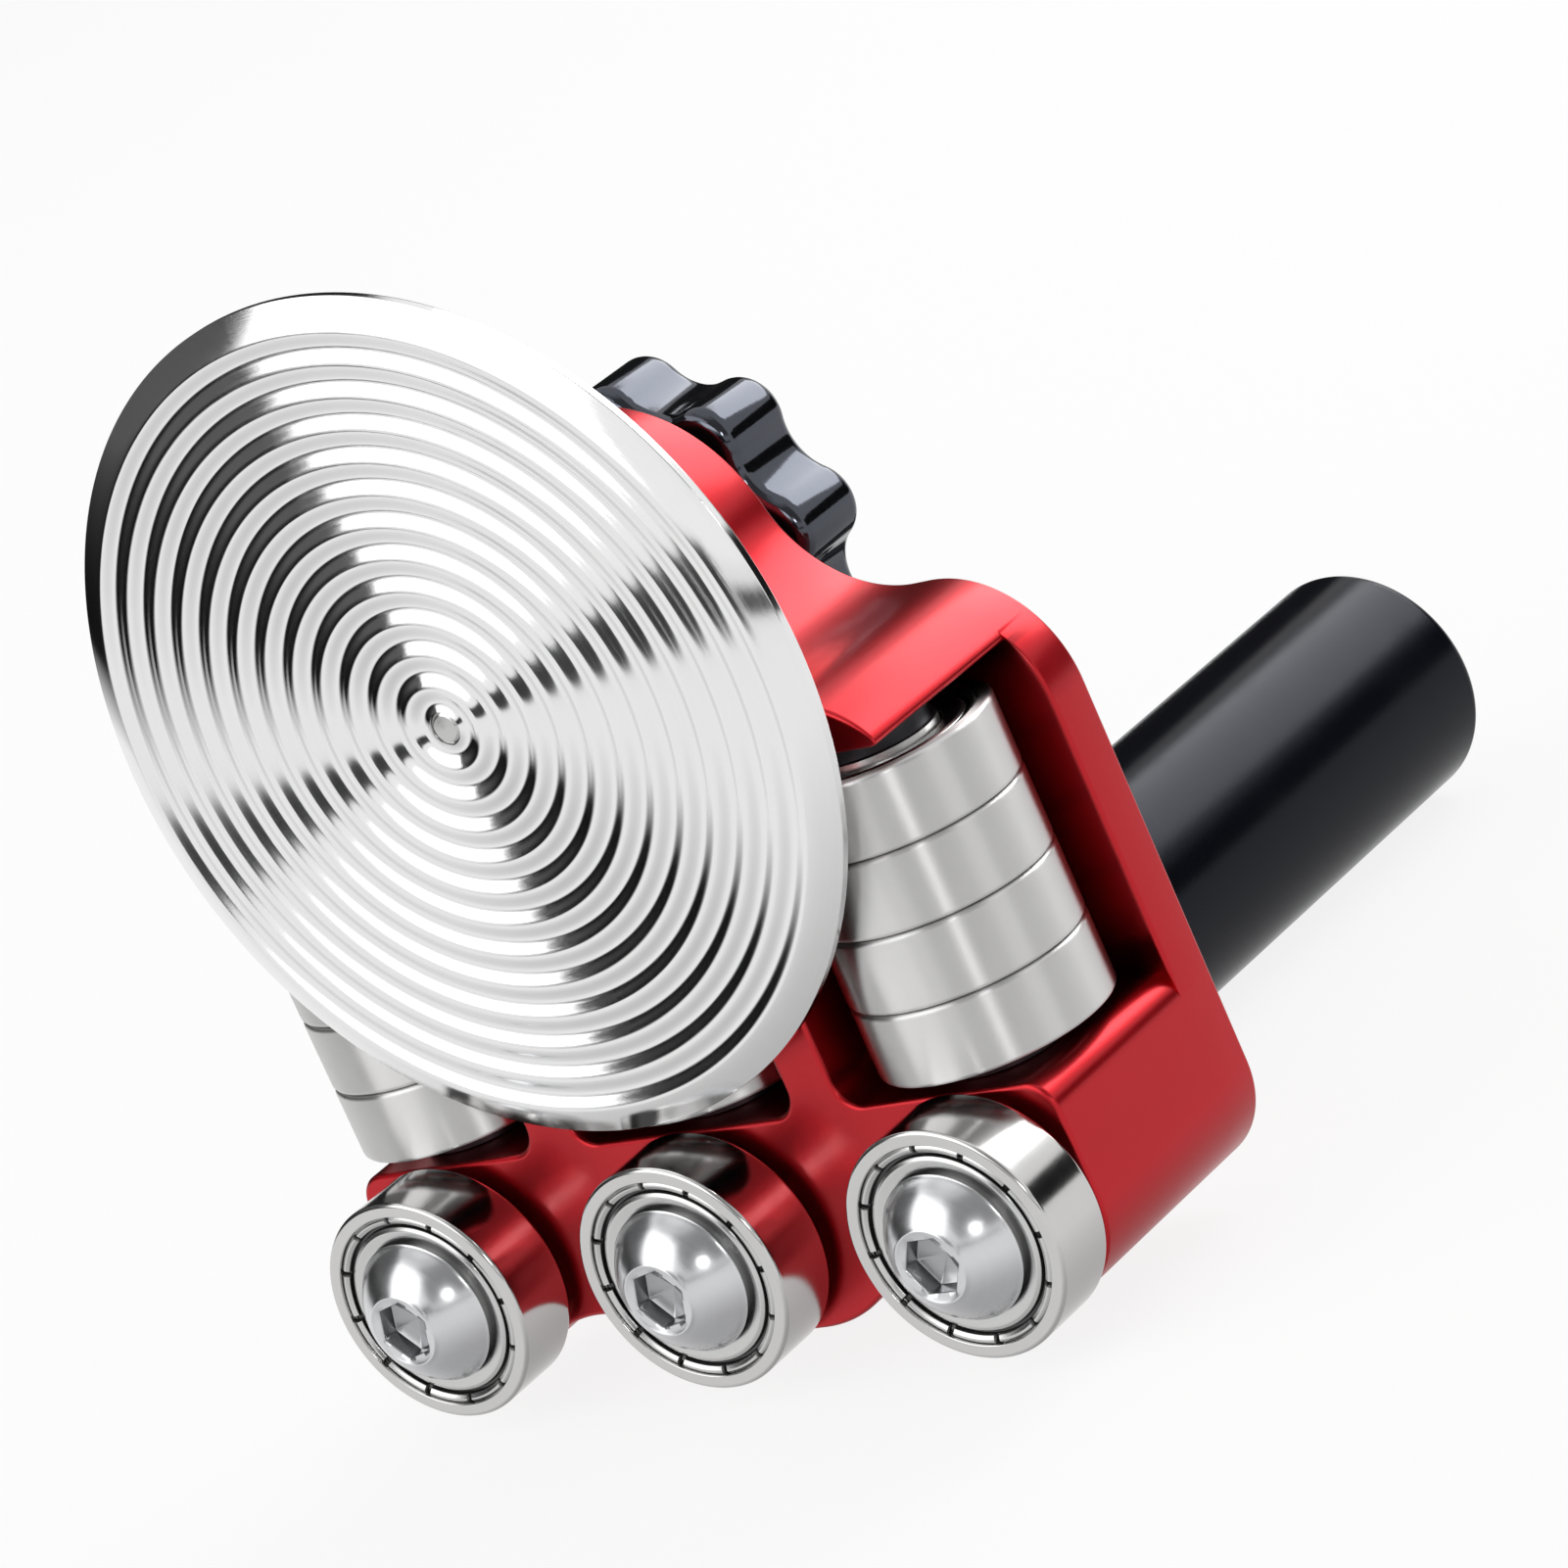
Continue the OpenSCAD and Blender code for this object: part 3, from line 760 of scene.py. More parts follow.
@dataclass
class RippledDisc:
    """The disc with its concentric ripples and the hub behind it."""

    rim_y: float = -30.0
    r: float = 39.8
    button_r: float = 1.6
    crests: tuple[float, float] = (3.89, 37.05)
    ripples: int = 12
    level: float = 1.08
    height: float = 0.44
    rim_fall: float = 1.4
    rim_power: float = 1.2
    rows: int = 24
    around: int = 256
    edge: float = 0.8
    back_bevel: float = 3.0
    sharp: float = 60.0
    back: float = -1.6
    # Radius, Y and rounding: a domed rivet in the disc, a cup, and the ring's groove.
    hub_section: tuple[Triple, ...] = (
        (0.25, -31.36, 0), (1.2, -31.3, 0.2), (1.58, -31.06, 0.15), (1.58, -28.4, 0), (7.7, -28.4, 0.2),
        (7.7, -22.65, 0.35), (5.6, -22.65, 0.2), (5.6, -23.65, 0), (6.1, -23.65, 0), (6.1, -24.65, 0),
        (5.6, -24.65, 0), (5.6, -27.6, 0), (0.25, -27.6, 0))

    def profile(self) -> np.ndarray:
        """Section: a cosine of the radius in front, a rim bent back from the last crest, a flat back."""
        first, last = self.crests
        pitch = (last - first) / (self.ripples - 1)
        crest, low = self.level + self.height, self.level + self.height - self.rim_fall
        r = np.linspace(self.button_r, last, self.rows * self.ripples)
        wave = self.level + self.height / 2 * (1 + np.cos(TAU * (r - first) / pitch))
        edge = np.linspace(last, self.r - 0.1, self.rows)[1:]
        fall = crest - self.rim_fall * ((edge - last) / (self.r - last))**self.rim_power
        rim = rounded([(edge[-1], fall[-1], 0), (self.r, low, 0.1), (self.r, low - self.edge, 0.2),
                       (self.r - self.back_bevel, self.back, 1.0), (self.button_r, self.back, 0)])
        return np.concatenate([np.stack([r, wave], -1), np.stack([edge, fall], -1), rim[1:]])

    def build(self) -> None:
        """Makes the disc and the hub, and dresses the pieces inside the hub."""
        disc = turned(self.profile(), Axis.FRONT, (0, self.rim_y, SPINDLE_Z), self.around)
        make_piece("rippled_disc", disc, "disc_and_hub", Finishes.DISC, ["disc"],
                   sharp=self.sharp)
        hub = turned(rounded(self.hub_section), Axis.BACK, (0, 0, SPINDLE_Z), closed=False)
        make_piece("riveted_hub", hub, "disc_and_hub", Finishes.PRESSED, ["disc_hub"])
        dress("retaining_ring", Finishes.SCREW)
        dress("thrust_washer", Finishes.BRONZE)


@dataclass
class KnobAndSpindle:
    """The threaded spindle with its collar, its bush in the neck, and the star knob behind the body."""

    lobes: int = 8
    tip_r: float = 16.8
    lobe_r: float = 3.8
    hollow_out: float = 2.2
    front_y: float = 1.8
    depth: float = 9.0
    edge_r: float = 1.5
    thread_r: float = 4.0
    thread_depth: float = 0.55
    lead: float = 1.25
    thread: tuple[float, float] = (-21.0, 8.4)
    collar: Triple = (5.55, -27.55, -25.55)
    tip_y: float = 8.8
    face_shares: Triple = (0.75, 0.5, 0.2)
    face_step: float = 0.1
    knob_around: int = 480
    spindle_around: int = 72
    thread_rows: int = 14
    thread_form: tuple[float, float] = (1.25, 0.12)
    bush: Triple = (4.05, 6.05, -21.4375)

    def outline(self) -> tuple[np.ndarray, np.ndarray]:
        """Star outline: the ray at each angle meets a lobe's circle, or a hollow's circle between lobes.

        Returns:
            the points and their outward normals.
        """
        half = math.pi / self.lobes
        lobe_c, hollow_c = self.tip_r - self.lobe_r, self.tip_r + self.hollow_out
        gap = np.array([hollow_c * math.cos(half) - lobe_c, hollow_c * math.sin(half)])
        hollow_r = float(np.linalg.norm(gap)) - self.lobe_r
        touch = np.array([lobe_c, 0]) + gap / np.linalg.norm(gap) * self.lobe_r
        t = np.arange(self.knob_around) * TAU / self.knob_around
        off = (t + half) % (2 * half) - half
        back = half - np.abs(off)
        lobe_half = np.sqrt(np.maximum(self.lobe_r**2 - (lobe_c * np.sin(off))**2, 0))
        hollow_half = np.sqrt(np.maximum(hollow_r**2 - (hollow_c * np.sin(back))**2, 0))
        lobe, hollow = lobe_c * np.cos(off) + lobe_half, hollow_c * np.cos(back) - hollow_half
        r = np.where(np.abs(off) <= math.atan2(touch[1], touch[0]), lobe, hollow)
        points = np.stack([r * np.cos(t), r * np.sin(t)], -1)
        along = np.roll(points, -1, 0) - np.roll(points, 1, 0)
        normals = np.stack([along[:, 1], -along[:, 0]], -1)
        return points, normals / np.linalg.norm(normals, axis=1, keepdims=True)

    def knob(self) -> Skin:
        """The star outline carried along the axis, drawn in along its normals where the edges are round."""
        points, normals = self.outline()
        bend = np.radians(np.linspace(0, 90, 9))
        inset, rise = self.edge_r * (1 - np.sin(bend)), self.edge_r * (1 - np.cos(bend))
        flat = [self.edge_r + self.face_step]
        insets = np.concatenate([flat, inset, inset[::-1], flat])
        levels = np.concatenate([[0], rise, self.depth - rise[::-1], [self.depth]])
        x, y = np.moveaxis(points - insets[:, None, None] * normals, -1, 0)
        more = len(self.face_shares)
        share = np.concatenate([self.face_shares[::-1], np.ones(len(insets)), self.face_shares])[:, None]
        polar = (np.hypot(x, y), np.arctan2(y, x))
        radii, angles = (np.pad(k, ((more, more), (0, 0)), "edge") for k in polar)
        heights = np.pad(levels, more, "edge")[:, None] * np.ones(len(points))
        return lofted(radii * share, heights, Axis.BACK, (0, self.front_y, SPINDLE_Z), False, angles)

    def spindle(self) -> Skin:
        """Spindle: the thread's radius follows the height less the angle's share of the lead."""
        around, start, end = self.spindle_around, *self.thread
        steep, flat = self.thread_form
        r, front, back = self.collar
        head = rounded([(POLE_R, front, 0), (r, front, 0.25), (r, back, 0.25), (self.thread_r, back, 0),
                        (self.thread_r, start - 0.3, 0)])
        y = np.arange(start, end, self.lead / self.thread_rows)
        t = np.arange(around) / around
        wave = np.abs(((y[:, None] / self.lead - t[None]) % 1.0) * 2 - 1)
        fade = np.clip(np.minimum(y - start, end - y) / self.lead, 0, 1)[:, None]
        cut = self.thread_depth * np.clip(steep * wave - flat, 0, 1) * fade
        tail = rounded([(self.thread_r, end + 0.05, 0), (self.thread_r, self.tip_y, 0.4),
                        (POLE_R, self.tip_y, 0)])
        spread = np.ones(around)
        radii = np.concatenate([head[:, :1] * spread, self.thread_r - cut, tail[:, :1] * spread])
        heights = np.concatenate([head[:, 1:] * spread, y[:, None] * spread, tail[:, 1:] * spread])
        return lofted(radii, heights, Axis.BACK, (0, 0, SPINDLE_Z), closed=False)

    def build(self) -> None:
        """Makes the knob, the spindle and the bush."""
        make_piece("star_knob", self.knob(), "knob_and_spindle", Finishes.KNOB, ["knob"])
        make_piece("threaded_spindle", self.spindle(), "knob_and_spindle", Finishes.SCREW,
                   ["spindle"])
        bore, outside, front = self.bush
        bush = turned(tube(bore, outside, front, 0, 0.15), Axis.BACK, (0, 0, SPINDLE_Z))
        make_piece("neck_bush", bush, "frame", Finishes.BRONZE, ["spindle_bush"])


@dataclass
class Handle:
    """Plain round handle on its stud."""

    r: float = 12.1
    length: float = 88.0
    edge_r: float = 1.2
    foot_r: float = 0.3
    end_flat: float = 3.2
    end_dish: float = 0.02
    rows: int = 24
    around: int = 192

    def build(self) -> None:
        """Makes the handle and dresses its stud."""
        start, end = 2 * self.foot_r, self.length - 2 * self.edge_r
        wall = [(self.r, y, 0) for y in np.linspace(start, end, self.rows)]
        profile = rounded([(POLE_R, 0, 0), (self.r, 0, self.foot_r), *wall,
                           (self.r, self.length, self.edge_r), (self.r - self.end_flat, self.length, 0.1),
                           (POLE_R, self.length - self.end_dish, 0)], 8)
        grip = turned(profile, Axis.BACK, (0, 0, 0), self.around, closed=False)
        make_piece("round_handle", grip, "frame", Finishes.GRIP, ["handle"])
        dress("handle_stud", Finishes.SCREW)


@dataclass
class Body:
    """The red body: a front layer with three pockets on a back plate, all with rounded edges."""

    front: float = -25.0
    pocket_y: float = -5.0
    half_w: float = 41.5
    neck_r: float = 16.2
    flank: Triple = (28.2985, 61.8, 13.0)
    shoulder: Triple = (30.0, 37.3, 11.5)
    foot: Triple = (32.5, 0.1, 9.0)
    lobe: Triple = (5.5, 5.7, 14.6)
    dip_r: float = 14.0
    base_z: float = -8.9
    floor_z: float = 11.6
    ceiling_z: float = 43.6
    pocket_half: float = 13.1
    pocket_r: float = 2.5
    jaw_r: float = 3.0
    nose_turn: float = 7.0
    nose: float = 1.3
    nose_fall: tuple[float, float] = (0.6, 2.5)
    beside: float = 0.3
    edge: float = 0.45
    edge_taper: float = 4.0
    sharp: float = 40.0
    recess: tuple[float, float] = (8.2, -21.4375)
    recess_around: int = 120
    bush_r: float = 6.07
    # How far the faces' rims lie outside the recess, the bush's hole and the screw holes.
    flares: Triple = (0.8, 0.5, 0.9)
    hole_edges: Triple = (0.3, 0.1, 0.15)
    screw_hole: Triple = (4.0, -12.8, 1.2)
    axle_hole: Triple = (4.0, -16.8, 45.8)
    drill_foot: float = 6.0
    pocket_edge: float = 0.2
    pocket_mouth: float = 3.0

    def corner(self) -> float:
        """Angle of the upper jaw's corner on the shoulder's circle, in degrees."""
        return math.degrees(math.asin((self.ceiling_z - self.shoulder[1]) / self.shoulder[2]))

    def dip_centre(self) -> np.ndarray:
        """Lower meeting point of the circles about the lobe and the foot that a dip's centre lies on."""
        a, b = np.array(self.lobe[:2]), np.array(self.foot[:2])
        r1, r2 = self.lobe[2] + self.dip_r, self.foot[2] + self.dip_r
        span = float(np.linalg.norm(b - a))
        u = (b - a) / span
        along = (r1**2 - r2**2 + span**2) / (2 * span)
        return a + along * u + math.sqrt(r1**2 - along**2) * np.array([u[1], -u[0]])

    def upper(self) -> np.ndarray:
        """Right edge from the top of the neck to just before the corner of the upper jaw."""
        fx, fz, fr = self.flank
        lean = math.degrees(math.atan2(fz - SPINDLE_Z, fx))
        sx, sz, sr = self.shoulder
        return np.concatenate([
            arc((0, SPINDLE_Z), self.neck_r, 90, lean, 64),
            arc((fx, fz), fr, 180 + lean, 270, 48)[1:],
            arc((sx, sz), sr, 90, self.corner() + self.nose_turn, 40),
        ])

    def window(self) -> np.ndarray:
        """Right edge of the back plate beside the open pocket, from the upper jaw to the lower one."""
        sx, sz, sr = self.shoulder
        z = np.linspace(sz - 0.5, self.floor_z - self.jaw_r + 0.5, 12)
        return np.concatenate([arc((sx, sz), sr, self.corner() + self.nose_turn, 0, 32)[1:],
                               np.stack([np.full(len(z), self.half_w), z], -1)])

    def pocket(self) -> np.ndarray:
        """Edge of the right pocket in the front layer, from the upper jaw's corner to the lower jaw's."""
        corner = self.corner()
        start, tip = arc(self.shoulder[:2], self.shoulder[2], corner + self.nose_turn, corner, 1)
        end = tip - np.array([self.nose, 0])
        s = np.linspace(0, 1, 10)[1:, None]
        nose = (1 - s)**2 * start + 2 * s * (1 - s) * tip + s**2 * end
        x, r = PITCH - self.pocket_half, self.pocket_r
        return np.concatenate([
            nose, [[x + r + self.beside, self.ceiling_z]],
            arc((x + r, self.ceiling_z - r), r, 90, 180, 10),
            arc((x + r, self.floor_z + r), r, 180, 270, 10),
            [[x + r + self.beside, self.floor_z], [self.half_w - self.jaw_r - self.beside, self.floor_z]],
            arc((self.half_w - self.jaw_r, self.floor_z - self.jaw_r), self.jaw_r, 90, 0, 14)[:-1],
        ])

    def lower(self) -> np.ndarray:
        """Right edge from the lower jaw round the foot, the dip and the lobe to the base's middle."""
        fx, fz, fr = self.foot
        lx, lz, lr = self.lobe
        dip = self.dip_centre()
        to_foot = math.degrees(math.atan2(fz - dip[1], fx - dip[0]))
        to_lobe = math.degrees(math.atan2(lz - dip[1], lx - dip[0]))
        return np.concatenate([
            [[self.half_w, self.floor_z - self.jaw_r], [self.half_w, fz + self.beside]],
            arc((fx, fz), fr, 0, to_foot - 180, 44),
            arc(tuple(dip), self.dip_r, to_foot, to_lobe, 36)[1:],
            arc((lx, lz), lr, to_lobe - 180, -90, 20)[1:],
            [[lx - self.beside, self.base_z]],
        ])

    @staticmethod
    def whole(parts: list[np.ndarray]) -> tuple[np.ndarray, np.ndarray]:
        """Both halves of an edge as one loop.

        Args:
            parts: the right half's stretches, from the top down.
        Returns:
            the loop, and for each point the number of its stretch.
        """
        right = np.concatenate(parts)
        mark = np.concatenate([np.full(len(p), k) for k, p in enumerate(parts)])
        left = right[::-1] * np.array([-1.0, 1.0])
        return np.concatenate([right, left[:-1]]), np.concatenate([mark, mark[::-1][:-1]])

    @staticmethod
    def inward(loop: np.ndarray) -> np.ndarray:
        """Step at each point of a loop that draws both its edges in by one: the mitre of their normals.

        Args:
            loop: points in X and Z.
        Returns:
            the steps.
        """
        edge = np.roll(loop, -1, 0) - loop
        edge /= np.linalg.norm(edge, axis=1, keepdims=True)
        area = np.sum(loop[:, 0] * np.roll(loop[:, 1], -1) - loop[:, 1] * np.roll(loop[:, 0], -1))
        normal = np.stack([-edge[:, 1], edge[:, 0]], -1) * math.copysign(1.0, area)
        before = np.roll(normal, 1, 0)
        return (normal + before) / (1 + np.sum(normal * before, axis=1, keepdims=True))

    @staticmethod
    def band(loop: np.ndarray, step: np.ndarray, insets: np.ndarray, levels: np.ndarray,
             closed: bool = True) -> Skin:
        """A loop carried along Y: row k is the loop drawn in by insets[k] at levels[k].

        Args:
            loop: points in X and Z.
            step: inward step at each point.
            insets: how far each row, or each point of each row, is drawn in.
            levels: Y of each row, or of each point of each row.
            closed: whether the loop joins itself.
        Returns:
            the surface, open at its first and last row.
        """
        rows, around = len(insets), len(loop)
        inset = np.broadcast_to(np.reshape(insets, (rows, -1)), (rows, around))
        level = np.broadcast_to(np.reshape(levels, (rows, -1)), (rows, around))
        flat = loop[None] + inset[..., None] * step[None]
        points = np.stack([flat[..., 0], level, flat[..., 1]], -1).reshape(-1, 3)
        return Skin(points, grid(rows, around, rows_join=False, across_join=closed))

    @staticmethod
    def bend(face: float, into: float, r: float,
             taper: np.ndarray | float = 1.0) -> tuple[np.ndarray, np.ndarray]:
        """Rows of a rounded edge from its wall to its face, on a quarter circle.

        Args:
            face: Y of the face.
            into: 1 where the wall lies at greater Y than the face, -1 otherwise.
            r: the edge's radius.
            taper: share of the radius at each point.
        Returns:
            how far each row is drawn in, and its Y.
        """
        a = np.radians(np.linspace(0, 90, 7))
        inset = np.append(r * (1 - np.cos(a)), r * 1.2)
        rise = np.append(r * (1 - np.sin(a)), 0.0)
        return np.multiply.outer(inset, taper), face + into * np.multiply.outer(rise, taper)

    def nose_taper(self, loop: np.ndarray) -> np.ndarray:
        """Share of the edge's radius at each point: one, with a bell-shaped fall at each jaw's nose.

        Args:
            loop: points in X and Z.
        Returns:
            the shares.
        """
        sx, sz, sr = self.shoulder
        tip = sx + math.sqrt(sr**2 - (self.ceiling_z - sz)**2)
        away = np.hypot(np.abs(loop[:, 0]) - tip, loop[:, 1] - self.ceiling_z)
        fall, reach = self.nose_fall
        return 1 - fall * np.exp(-(away / reach)**2)

    @staticmethod
    def cover(loops: list[np.ndarray], y: float) -> Skin:
        """Flat face between loops, cut into triangles; one stays if a ray from it crosses the loops oddly.

        Args:
            loops: the outer loop and the holes, in X and Z.
            y: the face's Y.
        Returns:
            the face.
        """
        points = np.concatenate(loops)
        starts = np.cumsum([0] + [len(k) for k in loops])
        edges = np.concatenate([np.stack([np.arange(len(k)), np.roll(np.arange(len(k)), -1)], -1) + s
                                for k, s in zip(loops, starts)])
        made = delaunay_2d_cdt([tuple(p) for p in points], [tuple(e) for e in edges.tolist()], [], 0, 1e-6)
        flat = np.array([tuple(v) for v in made[0]])
        tris = np.array(made[2], int)
        c = flat[tris].mean(1)
        a, b = points[edges[:, 0]], points[edges[:, 1]]
        straddle = (a[None, :, 1] > c[:, 1:]) != (b[None, :, 1] > c[:, 1:])
        with np.errstate(divide="ignore", invalid="ignore"):
            x = a[None, :, 0] + (c[:, 1:] - a[None, :, 1]) * (b - a)[None, :, 0] / (b - a)[None, :, 1]
        keep = np.sum(straddle & (x > c[:, :1]), axis=1) % 2 == 1
        return Skin(np.stack([flat[:, 0], np.full(len(flat), y), flat[:, 1]], -1), tris=tris[keep])

    @classmethod
    def hole(cls, centre: tuple[float, float], chain: np.ndarray,
             around: int = 72) -> tuple[Skin, np.ndarray]:
        """Wall of a round hole along Y: a chain of (radius, Y) goes round the hole's axis.

        Args:
            centre: the axis in X and Z.
            chain: the wall's section.
            around: points round the axis.
        Returns:
            the wall, and the loop of its first point.
        """
        t = np.arange(around) * TAU / around
        ring = np.stack([np.cos(t), np.sin(t)], -1)
        loop = np.array(centre) + ring
        wall = cls.band(loop, ring, chain[:, 0] - 1.0, chain[:, 1])
        return wall, np.array(centre) + ring * chain[0, 0]

    def skin(self) -> Skin:
        """All the body's surfaces: layers, pockets, holes and rounded edges."""
        r = self.edge
        edge_a, mark_a = self.whole([self.upper(), self.pocket(), self.lower()])
        edge_b, mark_b = self.whole([self.upper(), self.window(), self.lower()])
        step_a, step_b = self.inward(edge_a), self.inward(edge_b)
        front_in, front_y = self.bend(self.front, 1.0, r)
        back_in, back_y = self.bend(0.0, -1.0, r)
        jaw_in, jaw_y = self.bend(self.front, 1.0, r, self.nose_taper(edge_a))
        parts = [self.band(edge_a, step_a, jaw_in, jaw_y), self.band(edge_b, step_b, back_in, back_y)]
        wall = np.stack([jaw_y[0], np.full(len(edge_a), self.pocket_y), np.full(len(edge_a), -r)])
        flat = np.zeros(3)
        for stretch in self.runs(mark_a, shared=True):
            parts.append(self.band(edge_a[stretch], step_a[stretch], flat, wall[:, stretch], closed=False))
        for open_a, open_b in zip(self.runs(mark_a, shared=False), self.runs(mark_b, shared=False)):
            parts.append(self.band(edge_a[open_a], step_a[open_a], flat[:2], wall[:2, open_a],
                                   closed=False))
            run = np.concatenate([[0], np.cumsum(np.linalg.norm(np.diff(edge_b[open_b], axis=0), axis=1))])
            ends = np.clip(np.minimum(run, run[-1] - run) / self.edge_taper, 0, 1)
            side_in, side_y = self.bend(self.pocket_y, 1.0, r, ends**2 * (3 - 2 * ends))
            insets = np.concatenate([np.zeros((1, len(run))), side_in])
            levels = np.concatenate([np.full((1, len(run)), -r), side_y])
            side = self.band(edge_b[open_b], step_b[open_b], insets, levels, closed=False)
            parts.append(side)
            inner = side.points.reshape(len(insets), -1, 3)[-1][:, [0, 2]]
            parts.append(self.cover([np.concatenate([edge_a[open_a], inner[::-1][1:-1]])], self.pocket_y))
        x, pr = self.pocket_half, self.pocket_r
        middle = np.concatenate([
            arc((x - pr, self.ceiling_z - pr), pr, 90, 0, 10),
            arc((x - pr, self.floor_z + pr), pr, 0, -90, 10),
            arc((pr - x, self.floor_z + pr), pr, -90, -180, 10),
            arc((pr - x, self.ceiling_z - pr), pr, 180, 90, 10)])
        away = -self.inward(middle)
        parts.append(self.band(middle, away, np.append(front_in[::-1], 0.0),
                               np.append(front_y[::-1], self.pocket_y)))
        parts.append(self.cover([middle], self.pocket_y))
        face_loops = [edge_a + step_a * jaw_in[-1][:, None], middle + away * front_in[-1]]
        hr, hy = self.recess
        recess_flare, back_flare, bore_flare = self.flares
        mouth_r, root_r, back_r = self.hole_edges
        chain = rounded([(hr + recess_flare, self.front, 0), (hr, self.front, mouth_r), (hr, hy, root_r),
                         (self.bush_r, hy, 0), (self.bush_r, 0.0, back_r),
                         (self.bush_r + back_flare, 0.0, 0)])
        well, rim = self.hole((0, SPINDLE_Z), chain, self.recess_around)
        parts.append(well)
        face_loops.append(rim)
        back_rim = self.hole((0, SPINDLE_Z), chain[::-1], self.recess_around)[1]
        sr, sy, sz = self.screw_hole
        bore = rounded([(sr + bore_flare, self.front, 0), (sr, self.front, mouth_r), (sr, sy, root_r),
                        (1.0, sy, 0), (0.5, sy, 0)])
        for place in PLACES:
            drilled, rim = self.hole((place, sz), bore)
            parts += [drilled, self.cover([self.hole((place, sz), bore[::-1])[1]], sy)]
            face_loops.append(rim)
        parts.append(self.cover(face_loops, self.front))
        parts.append(self.cover([edge_b + step_b * back_in[-1], back_rim], 0.0))
        return Skin.joined(parts)

    @staticmethod
    def runs(mark: np.ndarray, shared: bool) -> list[np.ndarray]:
        """Point numbers of each stretch that both layers share, or that only one has, ends included.

        Args:
            mark: number of each point's stretch: 0 above, 1 beside the pocket, 2 below.
            shared: whether the shared stretches are asked for.
        Returns:
            the stretches, each in the loop's order.
        """
        n = len(mark)
        own = np.flatnonzero(mark == 1)
        gap = int(np.flatnonzero(np.diff(own) > 1)[0])
        first, second = own[: gap + 1], own[gap + 1:]
        if not shared:
            return [np.arange(first[0] - 1, first[-1] + 2), np.arange(second[0] - 1, second[-1] + 2)]
        below = np.arange(first[-1] + 1, second[0])
        above = np.arange(second[-1] + 1, n + first[0]) % n
        return [below, above]

    def build(self) -> None:
        """Makes the body, joins its surfaces, drills the holes for the axles and paints shade into the
        pockets.
        """
        skin = self.skin()
        skin.local = None
        piece = make_piece("red_body", skin, "frame", Finishes.RED, ["body"],
                           sharp=self.sharp)
        self.weld(piece.data)
        r, y, top = self.axle_hole
        foot = self.base_z - self.drill_foot
        rod = tube(POLE_R, r, foot, top, 0)
        drills = Skin.joined([turned(rod, Axis.UP, (x, y, 0), 72, closed=False) for x in PLACES])
        cutter = link("axle_drills", mesh_of("axle_drills", drills))
        cut = piece.modifiers.new("axle_holes", "BOOLEAN")
        cut.operation, cut.solver, cut.object = "DIFFERENCE", "EXACT", cutter
        bpy.context.view_layer.update()
        graph = bpy.context.evaluated_depsgraph_get()
        drilled = bpy.data.meshes.new_from_object(piece.evaluated_get(graph))
        piece.modifiers.clear()
        bpy.data.objects.remove(cutter)
        piece.data = drilled
        smooth(drilled, self.sharp)
        self.paint_pocket_shade(drilled)
        LOG.info("red_body drilled: %d faces", len(drilled.polygons))

    def paint_pocket_shade(self, mesh: bpy.types.Mesh) -> None:
        """Paints shade into the pockets: keeps how open each point lies, one outside, falling evenly with
        the depth inside a pocket.

        Args:
            mesh: the body's mesh, in metres.
        """
        flat = np.empty(len(mesh.vertices) * 3, np.float32)
        mesh.vertices.foreach_get("co", flat)
        x, y, z = flat.reshape(-1, 3).T / MM
        x, more = np.abs(x), self.pocket_edge
        depth = np.clip((y - self.front) / (self.pocket_y - self.front), 0, 1)
        inside = (z > self.floor_z - more) & (z < self.ceiling_z + more) & (y < self.pocket_y + more)
        inside &= (x < self.pocket_half + more) | (x > PITCH - self.pocket_half - more)
        edge = np.clip((self.half_w - x) / self.pocket_mouth, 0, 1)
        note(mesh, "open", np.where(inside, 1 - depth * edge, 1.0))

    @staticmethod
    def weld(mesh: bpy.types.Mesh) -> None:
        """Merges points that lie on each other and turns the faces outwards.

        Args:
            mesh: the body's mesh.
        """
        work = bmesh.new()
        work.from_mesh(mesh)
        bmesh.ops.remove_doubles(work, verts=work.verts, dist=2e-6)
        bmesh.ops.dissolve_degenerate(work, edges=work.edges, dist=1e-7)
        bmesh.ops.recalc_face_normals(work, faces=work.faces)
        LOG.info("body open edges: %d", sum(1 for e in work.edges if len(e.link_faces) != 2))
        work.to_mesh(mesh)
        work.free()


def direction(azimuth: float | np.ndarray, elevation: float | np.ndarray) -> np.ndarray:
    """Unit vector towards a place given in degrees: azimuth from -Y to +X, and elevation."""
    a, e = np.radians(azimuth), np.radians(elevation)
    return np.stack([np.sin(a) * np.cos(e), -np.cos(a) * np.cos(e), np.sin(e)], -1)


def aim(thing: bpy.types.Object, place: Sequence[float], axes: Sequence[Sequence[float]]) -> None:
    """Puts a lamp or a camera at a place, with its own x, y and z along three directions."""
    basis = Matrix(np.stack(axes, -1).tolist()).to_4x4()
    thing.matrix_world = Matrix.Translation(place) @ basis


